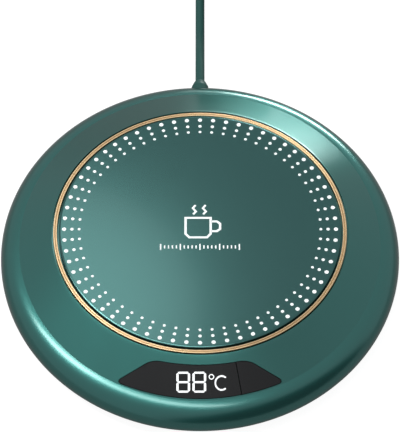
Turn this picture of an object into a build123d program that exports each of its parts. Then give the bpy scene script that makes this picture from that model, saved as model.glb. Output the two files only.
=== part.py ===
from build123d import *
import math
import os

# Electric mug warmer: an oval housing with a cone-shaped top face, a round heating plate in a
# trim ring, a display window and a push key flush with the cone, and a USB lead at the back.
# Millimetres, +Z up. The origin is on the table under the middle of the body, the display is
# towards -Y and the lead leaves at +Y.

os.makedirs("parts", exist_ok=True)

# ---------------------------------------------------------------- body
body_width = 128.0  # X, over the widest line of the rim
body_length = 132.4  # Y, over the widest line of the rim
equator_height = 6.9  # widest line above the table
shoulder_reach = 6.2  # X, from the crease where the cone meets the rim out to the widest line
crease_height = 13.6
shoulder_start = 70.0  # ellipse angle at which the shoulder meets the crease
tuck_radius = 3.0  # rounding below the widest line
tuck_angle = 75.0
cone_top_height = 20.9  # upper edge of the cone, beside the trim ring
wall = 2.2  # wall of the rim
cone_wall = 2.4  # wall of the cone, measured straight down

# ---------------------------------------------------------------- plate and trim ring
plate_radius = 45.0
plate_thickness = 2.6
plate_proud = 0.6  # top of the plate above the upper edge of the cone
plate_edge = 0.5  # ground edge of the plate
plate_gap = 0.15  # beside the plate in its recess
ring_inner_radius = 45.5
ring_width = 1.35
ring_thickness = 1.6
ring_edge = 0.3  # chamfer along both upper edges
ring_proud = 0.1
ring_gap = 0.45  # between the ring and the cone
ledge_radius = 41.0  # opening under the plate
ledge_thickness = 1.6
ledge_reach = 2.0  # how far the ledge runs on under the cone
gasket_thickness = 0.5
gasket_gap = 0.4  # beside the gasket, each side

# ---------------------------------------------------------------- heating stack
spreader_gap = 0.4
spreader_thickness = 1.5
element_radius = 38.0
element_thickness = 0.6
solder_pitch = 5.0
solder_radius = 1.2
pad_radius = 39.2
pad_thickness = 2.5
retainer_thickness = 1.0
retainer_wall = 0.8
retainer_gap = 0.3  # between its rim and the opening in the ledge
retainer_tab_width = 8.0
retainer_bead_circle = 26.0  # radius
retainer_bead_depth = 0.5
retainer_boss_circle = 44.6  # radius
retainer_boss_radius = 3.0
retainer_boss_angles = (90.0, 210.0, 330.0)
sensor_radius = 1.3
sensor_length = 3.0
cutoff_radius = 1.9
cutoff_length = 11.0
cutoff_offset = 17.0  # X, from the middle of the plate
cutoff_slot = 18.0  # slot in pad and retainer, longer than the cut-off for its leads
lead_window_x = 6.0  # window for the leads in pad and retainer
lead_window_y = 9.0
lead_window_offset = 12.0  # -X, from the middle of the plate

# ---------------------------------------------------------------- display panel, on its own plane
panel_setback = 5.1  # from the crease at the front to the panel's origin on the cone
panel_bottom = 5.13  # below the origin, measured down the slope
panel_top = 5.2  # above it
panel_corner_x = 14.8
panel_corner_y = 6.9
panel_tip_x = 26.2
panel_tip_y = 0.3
panel_corner_radius = 7.5
panel_tip_radius = 0.9
panel_gap = 0.15  # round the window in its pocket
window_thickness = 1.6  # straight down
window_glue = 0.1
window_ledge = 1.6  # how far the window rests on the frame
frame_depth = 3.7  # thick wall that carries the panel, straight down
frame_margin = 2.2
seam_x = 12.3
seam_angle = 10.5
seam_width = 0.3

# ---------------------------------------------------------------- key
key_gap = 0.2
key_travel = 0.4
key_cap = 1.6  # straight down
key_skirt = 1.2
key_flange = 0.9  # reach beyond the skirt, and thickness straight down
key_flange_gap = 0.05
key_post_x = 17.0
key_post_y = 1.1
key_post_radius = 1.4
key_post_gap = 0.03  # above the plunger

# ---------------------------------------------------------------- display board
board_depth = 8.5  # face of the display board below the panel plane
display_board_margin = 2.1  # beyond the middle of its posts
display_board_top = 5.0
display_board_bottom = 4.0
display_board_thickness = 1.0
display_post_x = 29.4
display_post_y = 1.0
display_post_radius = 2.0
display_board_corner = 2.0
module_width = 19.0
module_height = 8.0
module_x = 0.4
module_gap = 0.7  # between the module's face and the frame over its middle
segment_length = 2.7
segment_width = 0.75
segment_point = 0.35  # chamfer at the ends of a bar
segment_depth = 0.4
segment_gap = 0.2
module_corner = 0.5
switch_corner = 0.4
digit_pitch = 5.0
digit_x = -5.2  # middle of the left digit
digit_half_height = 3.05
digit_half_width = 1.95
switch_width = 5.4
switch_height = 1.6
plunger_radius = 1.2
plunger_gap = 0.05
plunger_proud = 0.8
plunger_sunk = 1.0

# ---------------------------------------------------------------- base
base_gap = 0.2  # round the base cover
base_bottom = 2.8  # underside above the table
base_thickness = 2.0
base_lip_height = 1.2
base_lip_width = 1.4
base_rib_radius = 38.0
base_rib_width = 1.4
base_rib_height = 1.6
rim_lip_height = 1.7  # bead inside the lower edge of the rim
rim_lip_width = 2.2
boss_inset = 5.8  # from the edge of the base cover
boss_radius = 3.3
boss_angles = (30.0, 150.0, 210.0, 330.0)
boss_hole_depth = 6.0
foot_inset = 9.4  # from the edge of the base cover
foot_radius = 6.0
foot_recess = 0.8
foot_gap = 0.15
foot_edge_radius = 0.8
foot_angles = (60.0, 120.0, 240.0, 300.0)

# ---------------------------------------------------------------- screws
screw_radius = 1.1
screw_clearance = 0.4
screw_head_radius = 2.6
screw_head_height = 1.1
screw_length = 6.5
pilot_gap = 0.02
small_screw_radius = 0.8
small_head_radius = 1.6
small_head_height = 0.8
small_screw_length = 3.4
recess_share = 0.62  # cross recess against the head's radius
recess_width_share = 0.2
recess_depth_share = 0.55
head_edge_share = 0.35  # chamfer round the head against its height

# ---------------------------------------------------------------- control board
control_length = 58.0
control_width = 42.0
control_corner = 2.0
control_thickness = 1.6
control_y = 4.0
control_post_height = 2.4
control_post_radius = 2.4
control_hole_inset = 3.5  # from the edges of the board
chip_length = 6.0
chip_width = 4.0
chip_height = 1.5
chip_x = 3.0
chip_y = -4.0
chip_pins = 8
pin_width = 0.4
pin_reach = 0.9
capacitor_radius = 1.5
capacitor_length = 6.0
capacitor_x = -2.0
capacitor_y = 13.0
transistor_length = 6.5
transistor_width = 6.0
transistor_height = 2.2
transistor_tab_width = 4.8
transistor_pin_pitch = 2.0
transistor_x = -21.0
transistor_y = 12.0
socket_length = 10.0
socket_width = 4.0
socket_height = 2.6
socket_x = -8.0
terminal_length = 9.0
terminal_width = 5.0
terminal_height = 3.0
ribbon_width = 7.0
ribbon_thickness = 0.3

# ---------------------------------------------------------------- lead and its fittings
cord_radius = 1.5
cord_height = 8.2  # where it leaves the body
collar_radius = 2.8
collar_length = 2.7
collar_end_wall = 0.35
relief_neck_radius = 2.3
relief_neck_gap = 0.05
relief_flange_radius = 2.6
relief_flange_reach = 3.8  # from the wall at its widest to the inner face of the flange
clamp_setback = 8.6  # from the inner face of the strain relief to the middle of the clamp
cord_inner_reach = 6.5  # how far the jacket runs on past the middle of the clamp
clamp_length = 5.0
clamp_width = 17.0
clamp_thickness = 2.6
clamp_corner = 1.0
clamp_gap = 0.2  # between clamp and saddle
clamp_screw_x = 5.6
clamp_screw_length = 5.6
core_radius = 0.55
core_pitch = 3.0
core_pitch_at_jacket = 1.5
fine_core_radius = 0.3
cutoff_lead_radius = 0.4
sensor_lead_offset = 0.45
lead_slack = 3.0  # how far a lead bows out on its way down
ribbon_fall = 3.2  # from the display board before it bends
joint_gap = 0.02  # between a wire and the hole that it fits
arc_share = 0.45  # share of the shorter run that an arc of a cord takes up

# Put-away length of the lead: a tied coil behind the body, with the plug beside it
coil_lift = 0.6  # the ties lie under the coil
coil_outer_turn = 19.1  # radius of the middle of the outermost turn
coil_columns = 3
coil_layers = 4
coil_slack = 0.1
coil_centre_y = 132.0
coil_stub_in = 13.5  # before the tangent point
coil_stub_out = 14.5  # past the tangent point
coil_exit_radius = 18.1
coil_edge = 1.0
tie_width = 3.0
tie_thickness = 0.5
tie_angles = (-45.0, 135.0)

# ---------------------------------------------------------------- plug, a standard USB type A
plug_y = 140.0
plug_start_x = 79.0  # end of the cord
plug_length = 21.0
plug_width = 15.6
plug_height = 8.0
plug_corner = 2.4
plug_back_edge = 1.6
grip_length = 9.0
grip_width = 9.0
grip_depth = 0.4
neck_length = 7.0
neck_radius = 2.6
neck_end_radius = 2.0
shell_width = 12.0
shell_height = 4.5
shell_wall = 0.3
shell_length = 12.6  # outside the overmould
shell_sunk = 5.0  # inside the overmould
shell_corner = 0.6
shell_window_length = 2.5
shell_window_width = 2.2
shell_window_pitch = 5.0
shell_window_back = 6.4  # from the mouth to the middle of the windows
insulator_width = 11.2
insulator_height = 1.8
insulator_recess = 0.5  # behind the mouth
contact_width = 1.0
contact_height = 0.25
contact_length = 7.4
contact_places = (-3.5, -1.0, 1.0, 3.5)

# ---------------------------------------------------------------- derived places
stretch = body_length / body_width
equator_x = body_width / 2
crease_x = equator_x - shoulder_reach
shoulder_a = shoulder_reach / (1 - math.cos(math.radians(shoulder_start)))
shoulder_b = (crease_height - equator_height) / math.sin(math.radians(shoulder_start))
shoulder_centre_x = equator_x - shoulder_a
tuck_centre_x = equator_x - tuck_radius
rim_bottom = equator_height - tuck_radius * math.sin(math.radians(tuck_angle))
rim_bottom_x = tuck_centre_x + tuck_radius * math.cos(math.radians(tuck_angle))
opening_x = rim_bottom_x - rim_lip_width
rim_lip_top = rim_bottom + rim_lip_height
inner_a = shoulder_a - wall
inner_b = shoulder_b - wall
inner_crease_x = shoulder_centre_x + inner_a * math.cos(math.radians(shoulder_start))
inner_crease_height = equator_height + inner_b * math.sin(math.radians(shoulder_start))

groove_radius = ring_inner_radius + ring_width + ring_gap
groove_floor = cone_top_height + ring_proud - ring_thickness
recess_radius = plate_radius + plate_gap
plate_top = cone_top_height + plate_proud
plate_bottom = plate_top - plate_thickness
ledge_top = plate_bottom - gasket_thickness
ledge_bottom = ledge_top - ledge_thickness
ledge_outer_radius = groove_radius + ledge_reach
inner_cone_top = cone_top_height - cone_wall

spreader_bottom = plate_bottom - spreader_thickness
element_bottom = spreader_bottom - element_thickness
pad_bottom = element_bottom - pad_thickness
retainer_bottom = pad_bottom - retainer_thickness
retainer_radius = ledge_radius - retainer_gap
retainer_tab_reach = retainer_boss_circle + retainer_boss_radius

# The panel plane touches the cone at the front, with its normal out of the face
crease_y = crease_x * stretch
slope_run = crease_y - groove_radius
slope_rise = cone_top_height - crease_height
slope_angle = math.atan2(slope_rise, slope_run)
panel_radius = crease_y - panel_setback
panel_height = crease_height + slope_rise * panel_setback / slope_run
panel_plane = Plane(
    origin=(0, -panel_radius, panel_height),
    x_dir=(1, 0, 0),
    z_dir=(0, -math.sin(slope_angle), math.cos(slope_angle)),
)
panel_reach_out = 10.0
panel_reach_in = 9.5
key_flange_top = frame_depth + key_flange_gap
display_board_length = 2 * (display_post_x + display_board_margin)
board_face = panel_plane.offset(-board_depth)
board_back = board_face.offset(-display_board_thickness)
module_top = frame_depth * math.cos(slope_angle) + module_gap
module_face = panel_plane.offset(-module_top)
plunger_top = board_depth - switch_height - plunger_proud

base_top = base_bottom + base_thickness
base_x = opening_x - base_gap
control_bottom = base_top + control_post_height
control_top = control_bottom + control_thickness
control_front = control_y - control_width / 2
control_back = control_y + control_width / 2
terminal_z = control_top + terminal_height / 2
ribbon_z = control_top + socket_height / 2
inner_wall_y = (equator_x - wall) * stretch
relief_inner_y = inner_wall_y - relief_flange_reach
clamp_y = relief_inner_y - clamp_setback
cord_inner_end = clamp_y - cord_inner_reach
wall_exit_turn = math.asin((cord_height - equator_height) / shoulder_b)
wall_exit_y = (shoulder_centre_x + shoulder_a * math.cos(wall_exit_turn)) * stretch
collar_end_y = wall_exit_y + collar_length


def circle_points(radius, angles):
    """Points on a circle round the middle of the body."""
    turns = [math.radians(angle) for angle in angles]
    return [(radius * math.cos(turn), radius * math.sin(turn)) for turn in turns]


boss_points = circle_points(base_x - boss_inset, boss_angles)
foot_points = circle_points(base_x - foot_inset, foot_angles)
retainer_points = circle_points(retainer_boss_circle, retainer_boss_angles)
control_hole_x = control_length / 2 - control_hole_inset
control_hole_y = control_width / 2 - control_hole_inset
control_points = [
    (x, control_y + y) for x in (-control_hole_x, control_hole_x) for y in (-control_hole_y, control_hole_y)
]
display_posts = [(-display_post_x, display_post_y), (display_post_x, display_post_y)]
clamp_points = [(-clamp_screw_x, clamp_y), (clamp_screw_x, clamp_y)]


def save(name, part):
    """Label a finished piece and write it under its own name."""
    part.label = name
    export_step(part, f"parts/{name}.step")


def screws(seats, radius, length, head_radius, head_height):
    """Pan-head screws. Each seat plane lies under a head, its normal along the shank."""
    edge = head_height * head_edge_share
    recess = head_radius * recess_share
    with BuildPart() as screw:
        with BuildSketch(Plane.XZ):
            Polygon(
                (0, length),
                (radius, length),
                (radius, 0),
                (head_radius, 0),
                (head_radius, edge - head_height),
                (head_radius - edge, -head_height),
                (0, -head_height),
                align=None,
            )
        revolve(axis=Axis.Z)
        with BuildSketch(Plane.XY.offset(-head_height)):
            Rectangle(2 * recess, head_radius * recess_width_share * 2)
            Rectangle(head_radius * recess_width_share * 2, 2 * recess)
        extrude(amount=head_height * recess_depth_share, mode=Mode.SUBTRACT)
    with BuildPart() as group:
        with Locations(*seats):
            add(screw.part)
    return group.part


def arc_radii(points):
    """One tangent arc for each corner of a route, as large as its two runs allow."""
    legs = [Vector(*b) - Vector(*a) for a, b in zip(points, points[1:])]
    return [
        arc_share * min(a.length, b.length) / math.tan(math.radians(a.get_angle(b)) / 2)
        for a, b in zip(legs, legs[1:])
    ]


def tube(points, radius):
    """A round wire along straight runs joined by tangent arcs."""
    with BuildPart() as wire:
        with BuildLine() as route:
            FilletPolyline(*points, radius=arc_radii(points))
        path = route.wires()[0]
        with BuildSketch(Plane(origin=path @ 0, z_dir=path % 0)):
            Circle(radius)
        sweep(path=path)
    return wire.part


def wires(routes, radius):
    """A group of separate wires of one size."""
    with BuildPart() as group:
        for route in routes:
            add(tube(route, radius))
    return group.part


def cone_body(sink):
    """Everything under the cone face, with the face sunk straight down."""
    with BuildPart() as body:
        with BuildSketch(Plane.XY.offset(crease_height - sink)):
            Ellipse(crease_x, crease_y)
        with BuildSketch(Plane.XY.offset(cone_top_height - sink)):
            Circle(groove_radius)
        loft(ruled=True)
        with BuildSketch(Plane.XY.offset(crease_height - sink)):
            Ellipse(crease_x, crease_y)
        extrude(amount=-crease_height)
    return body.part


def panel_outline(grow=0.0, side="whole"):
    """Outline of the black panel on the panel plane: all of it, the window or the key."""
    with BuildSketch(panel_plane) as outline:
        with BuildLine():
            ThreePointArc((-panel_tip_x, panel_tip_y), (0, -panel_bottom), (panel_tip_x, panel_tip_y))
            Line((panel_tip_x, panel_tip_y), (panel_corner_x, panel_corner_y))
            ThreePointArc((panel_corner_x, panel_corner_y), (0, panel_top), (-panel_corner_x, panel_corner_y))
            Line((-panel_corner_x, panel_corner_y), (-panel_tip_x, panel_tip_y))
        make_face()
        corners = outline.vertices()
        tips = [v for v in corners if abs(v.X) > (panel_corner_x + panel_tip_x) / 2]
        shoulders = [v for v in corners if abs(v.X) < (panel_corner_x + panel_tip_x) / 2]
        fillet(tips, panel_tip_radius)
        shoulders = [
            v
            for v in outline.vertices()
            if any(abs(v.X - s.X) < joint_gap and abs(v.Y - s.Y) < joint_gap for s in shoulders)
        ]
        fillet(shoulders, panel_corner_radius)
        if side != "whole":
            edge = Align.MAX if side == "window" else Align.MIN
            shift = -seam_width / 2 if side == "window" else seam_width / 2
            with Locations(Location((seam_x + shift, 0, 0), (0, 0, seam_angle))):
                Rectangle(3 * panel_tip_x, 3 * panel_tip_x, align=(edge, Align.CENTER), mode=Mode.INTERSECT)
        if grow:
            offset(amount=grow, kind=Kind.INTERSECTION if grow < 0 else Kind.ARC)
    return outline.sketch


def panel_prism(grow=0.0, side="whole"):
    """The outline carried through the wall, square to the panel plane."""
    outline = panel_outline(grow, side)
    with BuildPart() as prism:
        extrude(outline, amount=panel_reach_out)
        extrude(outline, amount=-panel_reach_in)
    return prism.part


# ---------------------------------------------------------------- upper housing
cone_face = cone_body(0)
cone_at_window = cone_body(window_thickness)
cone_at_glue = cone_body(window_thickness + window_glue)
cone_at_frame = cone_body(frame_depth)
cone_at_cap = cone_body(key_cap)
cone_in_cap = cone_body(key_cap / 2)
cone_at_flange = cone_body(key_flange_top)
cone_under_flange = cone_body(key_flange_top + key_flange)
frame_prism = panel_prism(frame_margin)
window_prism = panel_prism(0, "window")
pocket_prism = panel_prism(panel_gap, "window")
aperture_prism = panel_prism(-window_ledge, "window")
key_prism = panel_prism(0, "key")
key_hole_prism = panel_prism(key_gap, "key")
key_hollow_prism = panel_prism(-key_skirt, "key")
key_flange_prism = panel_prism(key_flange, "key")

with BuildPart() as outer_shape:
    with BuildSketch(Plane.XZ):
        with BuildLine():
            Polyline((0, rim_bottom), (rim_bottom_x, rim_bottom))
            CenterArc((tuck_centre_x, equator_height), tuck_radius, -tuck_angle, tuck_angle)
            EllipticalCenterArc(
                (shoulder_centre_x, equator_height), shoulder_a, shoulder_b, 0, arc_size=shoulder_start
            )
            Polyline((crease_x, crease_height), (0, crease_height), (0, rim_bottom))
        make_face()
    revolve(axis=Axis.Z)
    scale(by=(1, stretch, 1))
    with BuildSketch(Plane.XY.offset(crease_height)):
        Ellipse(crease_x, crease_y)
    with BuildSketch(Plane.XY.offset(cone_top_height)):
        Circle(groove_radius)
    loft(ruled=True)

with BuildPart() as panel_frame:
    add(frame_prism)
    add(cone_face, mode=Mode.INTERSECT)
    add(cone_at_frame, mode=Mode.SUBTRACT)

# The hollow inside. What is taken out of it stays as bosses, ledge and frame of the housing
with BuildPart() as hollow:
    with BuildSketch(Plane.XZ):
        with BuildLine():
            Polyline(
                (0, 0),
                (opening_x, 0),
                (opening_x, rim_lip_top),
                *[
                    (
                        shoulder_centre_x + inner_a * math.cos(math.radians(turn)),
                        equator_height + inner_b * math.sin(math.radians(turn)),
                    )
                    for turn in (0, shoulder_start / 3, shoulder_start * 2 / 3)
                ],
                (inner_crease_x, inner_crease_height),
                (0, inner_crease_height),
                (0, 0),
            )
        make_face()
    revolve(axis=Axis.Z)
    scale(by=(1, stretch, 1))
    with BuildSketch(Plane.XY.offset(inner_crease_height)):
        Ellipse(inner_crease_x, inner_crease_x * stretch)
    with BuildSketch(Plane.XY.offset(inner_cone_top)):
        Circle(groove_radius)
    loft(ruled=True)
    with BuildSketch(Plane.XY.offset(ledge_bottom)):
        Circle(ledge_outer_radius)
    extrude(amount=cone_top_height, mode=Mode.SUBTRACT)
    with BuildSketch(Plane.XY.offset(base_top)):
        with Locations(boss_points):
            Circle(boss_radius)
    extrude(amount=cone_top_height, mode=Mode.SUBTRACT)
    with BuildSketch(Plane.XY.offset(pad_bottom)):
        with Locations(retainer_points):
            Circle(retainer_boss_radius)
    extrude(amount=cone_top_height, mode=Mode.SUBTRACT)
    with BuildSketch(board_face):
        with Locations(display_posts):
            Circle(display_post_radius)
    extrude(amount=board_depth, mode=Mode.SUBTRACT)
    add(panel_frame.part, mode=Mode.SUBTRACT)

with BuildPart() as window_pocket:
    add(pocket_prism)
    add(cone_at_glue, mode=Mode.SUBTRACT)

with BuildPart() as upper_housing:
    add(outer_shape.part)
    add(hollow.part, mode=Mode.SUBTRACT)
    # Stepped seat for the trim ring and the plate, open to the heating stack
    with BuildSketch(Plane.XY.offset(groove_floor)):
        Circle(groove_radius)
    extrude(amount=cone_top_height, mode=Mode.SUBTRACT)
    with BuildSketch(Plane.XY.offset(ledge_top)):
        Circle(recess_radius)
    extrude(amount=cone_top_height, mode=Mode.SUBTRACT)
    with BuildSketch(Plane.XY.offset(ledge_bottom - ledge_thickness)):
        Circle(ledge_radius)
    extrude(amount=cone_top_height, mode=Mode.SUBTRACT)
    # Panel: a pocket and a way through for the display, a hole for the key
    add(window_pocket.part, mode=Mode.SUBTRACT)
    add(aperture_prism, mode=Mode.SUBTRACT)
    add(key_hole_prism, mode=Mode.SUBTRACT)
    # Screw holes in the bosses and posts
    with BuildSketch(Plane.XY.offset(base_top)):
        with Locations(boss_points):
            Circle(screw_radius + pilot_gap)
    extrude(amount=boss_hole_depth, mode=Mode.SUBTRACT)
    with BuildSketch(Plane.XY.offset(pad_bottom)):
        with Locations(retainer_points):
            Circle(small_screw_radius + pilot_gap)
    extrude(amount=small_screw_length, mode=Mode.SUBTRACT)
    with BuildSketch(board_face):
        with Locations(display_posts):
            Circle(small_screw_radius + pilot_gap)
    extrude(amount=small_screw_length, mode=Mode.SUBTRACT)
    # Hole for the strain relief
    with BuildSketch(Plane.XZ.offset(-relief_inner_y)):
        with Locations((0, cord_height)):
            Circle(relief_neck_radius + relief_neck_gap)
    extrude(amount=relief_inner_y - collar_end_y, mode=Mode.SUBTRACT)

save("upper_housing", upper_housing.part)

# ---------------------------------------------------------------- plate and trim ring
with BuildPart() as gold_trim_ring:
    with BuildSketch(Plane.XZ):
        with Locations((ring_inner_radius, groove_floor)):
            Rectangle(ring_width, ring_thickness, align=(Align.MIN, Align.MIN))
    revolve(axis=Axis.Z)
    chamfer(gold_trim_ring.edges().group_by(Axis.Z)[-1], ring_edge)
save("gold_trim_ring", gold_trim_ring.part)

with BuildPart() as heating_plate:
    with BuildSketch(Plane.XY.offset(plate_bottom)):
        Circle(plate_radius)
    extrude(amount=plate_thickness)
    chamfer(heating_plate.edges().group_by(Axis.Z)[-1], plate_edge)
save("heating_plate", heating_plate.part)

with BuildPart() as plate_gasket:
    with BuildSketch(Plane.XY.offset(ledge_top)):
        Circle(recess_radius - gasket_gap)
        Circle(ledge_radius + gasket_gap, mode=Mode.SUBTRACT)
    extrude(amount=gasket_thickness)
save("plate_gasket", plate_gasket.part)

# ---------------------------------------------------------------- heating stack
with BuildPart() as heat_spreader:
    with BuildSketch(Plane.XY.offset(spreader_bottom)):
        Circle(ledge_radius - spreader_gap)
    extrude(amount=spreader_thickness)
    chamfer(heat_spreader.edges().group_by(Axis.Z)[0], spreader_gap)
save("heat_spreader", heat_spreader.part)

with BuildPart() as heater_element:
    with BuildSketch(Plane.XY.offset(element_bottom)):
        Circle(element_radius)
    extrude(amount=element_thickness)
    # Two solder pads stand under the film, inside the window for the leads
    with BuildSketch(Plane.XY.offset(element_bottom)):
        with Locations((-lead_window_offset, -solder_pitch / 2), (-lead_window_offset, solder_pitch / 2)):
            Circle(solder_radius)
    extrude(amount=-element_thickness)
save("heater_element", heater_element.part)

# The same openings run through the pad and the retainer
def stack_openings(bottom, height):
    """Openings for the leads, the thermal cut-off and the sensor."""
    with BuildPart() as openings:
        with BuildSketch(Plane.XY.offset(bottom)):
            with Locations((-lead_window_offset, 0)):
                RectangleRounded(lead_window_x, lead_window_y, lead_window_x / 4)
            with Locations((cutoff_offset, 0)):
                Rectangle(2 * cutoff_radius, cutoff_slot)
            Circle(sensor_radius)
        extrude(amount=height)
    return openings.part


pad_openings = stack_openings(pad_bottom, pad_thickness)
retainer_openings = stack_openings(retainer_bottom - retainer_thickness, 2 * retainer_thickness)

with BuildPart() as insulation_pad:
    with BuildSketch(Plane.XY.offset(pad_bottom)):
        Circle(pad_radius)
    extrude(amount=pad_thickness)
    add(pad_openings, mode=Mode.SUBTRACT)
save("insulation_pad", insulation_pad.part)

with BuildPart() as heater_retainer:
    with BuildSketch(Plane.XY.offset(retainer_bottom)):
        Circle(retainer_radius)
        for angle in retainer_boss_angles:
            with Locations(Location((0, 0, 0), (0, 0, angle))):
                with Locations((retainer_tab_reach / 2, 0)):
                    RectangleRounded(retainer_tab_reach, retainer_tab_width, retainer_tab_width / 4)
        with Locations(retainer_points):
            Circle(small_screw_radius + screw_clearance / 2, mode=Mode.SUBTRACT)
    extrude(amount=retainer_thickness)
    # Upturned rim round the pad
    with BuildSketch(Plane.XY.offset(pad_bottom)):
        Circle(retainer_radius)
        Circle(retainer_radius - retainer_wall, mode=Mode.SUBTRACT)
    extrude(amount=pad_thickness - joint_gap)
    # Stiffening bead pressed down round the middle
    with BuildSketch(Plane.XZ):
        with Locations((retainer_bead_circle, retainer_bottom - retainer_bead_depth / 2)):
            Trapezoid(4 * retainer_bead_depth, retainer_bead_depth, 45, rotation=180)
    revolve(axis=Axis.Z)
    add(retainer_openings, mode=Mode.SUBTRACT)
save("heater_retainer", heater_retainer.part)

retainer_seats = [Plane(origin=(x, y, retainer_bottom), z_dir=(0, 0, 1)) for x, y in retainer_points]
save(
    "retainer_screws",
    screws(retainer_seats, small_screw_radius, small_screw_length, small_head_radius, small_head_height),
)

with BuildPart() as temperature_sensor:
    with BuildSketch(Plane.XY.offset(element_bottom)):
        Circle(sensor_radius)
    extrude(amount=-sensor_length)
    chamfer(temperature_sensor.edges().group_by(Axis.Z)[0], sensor_radius / 3)
save("temperature_sensor", temperature_sensor.part)

with BuildPart() as thermal_cutoff:
    with BuildSketch(Plane.XZ.offset(-cutoff_length / 2)):
        with Locations((cutoff_offset, element_bottom - cutoff_radius)):
            Circle(cutoff_radius)
    extrude(amount=cutoff_length)
    chamfer(thermal_cutoff.edges().filter_by(GeomType.CIRCLE), cutoff_radius / 3)
save("thermal_cutoff", thermal_cutoff.part)

# ---------------------------------------------------------------- display window and key
with BuildPart() as display_window:
    add(window_prism)
    add(cone_face, mode=Mode.INTERSECT)
    add(cone_at_window, mode=Mode.SUBTRACT)
save("display_window", display_window.part)

with BuildPart() as key_hollow:
    add(key_hollow_prism)
    add(cone_at_cap, mode=Mode.INTERSECT)

with BuildPart() as key_flange_ring:
    add(key_flange_prism)
    add(key_hollow_prism, mode=Mode.SUBTRACT)
    add(cone_at_flange, mode=Mode.INTERSECT)
    add(cone_under_flange, mode=Mode.SUBTRACT)

# Post that presses the switch
with BuildPart() as key_post:
    with BuildSketch(panel_plane.offset(key_post_gap - plunger_top)):
        with Locations((key_post_x, key_post_y)):
            Circle(key_post_radius)
    extrude(amount=plunger_top)
    add(cone_in_cap, mode=Mode.INTERSECT)

with BuildPart() as mode_button:
    add(key_prism)
    add(cone_face, mode=Mode.INTERSECT)
    add(cone_under_flange, mode=Mode.SUBTRACT)
    add(key_hollow.part, mode=Mode.SUBTRACT)
    add(key_flange_ring.part)
    add(key_post.part)
save("mode_button", mode_button.part)

# ---------------------------------------------------------------- display board
with BuildPart() as display_board:
    with BuildSketch(board_face):
        with Locations((0, (display_board_top - display_board_bottom) / 2)):
            RectangleRounded(
                display_board_length, display_board_top + display_board_bottom, display_board_corner
            )
        with Locations(display_posts):
            Circle(small_screw_radius + screw_clearance / 2, mode=Mode.SUBTRACT)
    extrude(amount=-display_board_thickness)
save("display_board", display_board.part)

display_seats = [
    Plane(origin=board_back.from_local_coords((x, y, 0)), z_dir=panel_plane.z_dir) for x, y in display_posts
]
save(
    "display_board_screws",
    screws(display_seats, small_screw_radius, small_screw_length, small_head_radius, small_head_height),
)


def segments():
    """Two seven-segment digits, as light bars in the module's face."""
    with BuildSketch(module_face) as bars:
        for column in range(2):
            middle = digit_x + column * digit_pitch
            with Locations(*[(middle, row * digit_half_height) for row in (-1, 0, 1)]):
                Rectangle(segment_length, segment_width)
            with Locations(Location((middle, 0))):
                with GridLocations(2 * digit_half_width, digit_half_height, 2, 2):
                    Rectangle(segment_width, segment_length - segment_gap)
        chamfer(bars.vertices(), segment_point)
    return bars.sketch


segment_bars = segments()

with BuildPart() as display_module:
    with BuildSketch(module_face):
        with Locations((module_x, 0)):
            RectangleRounded(module_width, module_height, module_corner)
    extrude(amount=module_top - board_depth)
    extrude(segment_bars, amount=-segment_depth, mode=Mode.SUBTRACT)
save("display_module", display_module.part)

with BuildPart() as display_segments:
    extrude(segment_bars, amount=-segment_depth)
save("display_segments", display_segments.part)

# ---------------------------------------------------------------- tact switch
with BuildPart() as tact_switch:
    with BuildSketch(board_face):
        with Locations((key_post_x, key_post_y)):
            RectangleRounded(switch_width, switch_width, switch_corner)
    extrude(amount=switch_height)
    with BuildSketch(board_face.offset(switch_height - plunger_sunk)):
        with Locations((key_post_x, key_post_y)):
            Circle(plunger_radius + plunger_gap)
    extrude(amount=plunger_sunk, mode=Mode.SUBTRACT)
save("tact_switch", tact_switch.part)

with BuildPart() as switch_plunger:
    with BuildSketch(board_face.offset(switch_height - plunger_sunk + key_travel + plunger_gap)):
        with Locations((key_post_x, key_post_y)):
            Circle(plunger_radius)
    extrude(amount=plunger_sunk - key_travel - plunger_gap + plunger_proud)
save("switch_plunger", switch_plunger.part)

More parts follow.
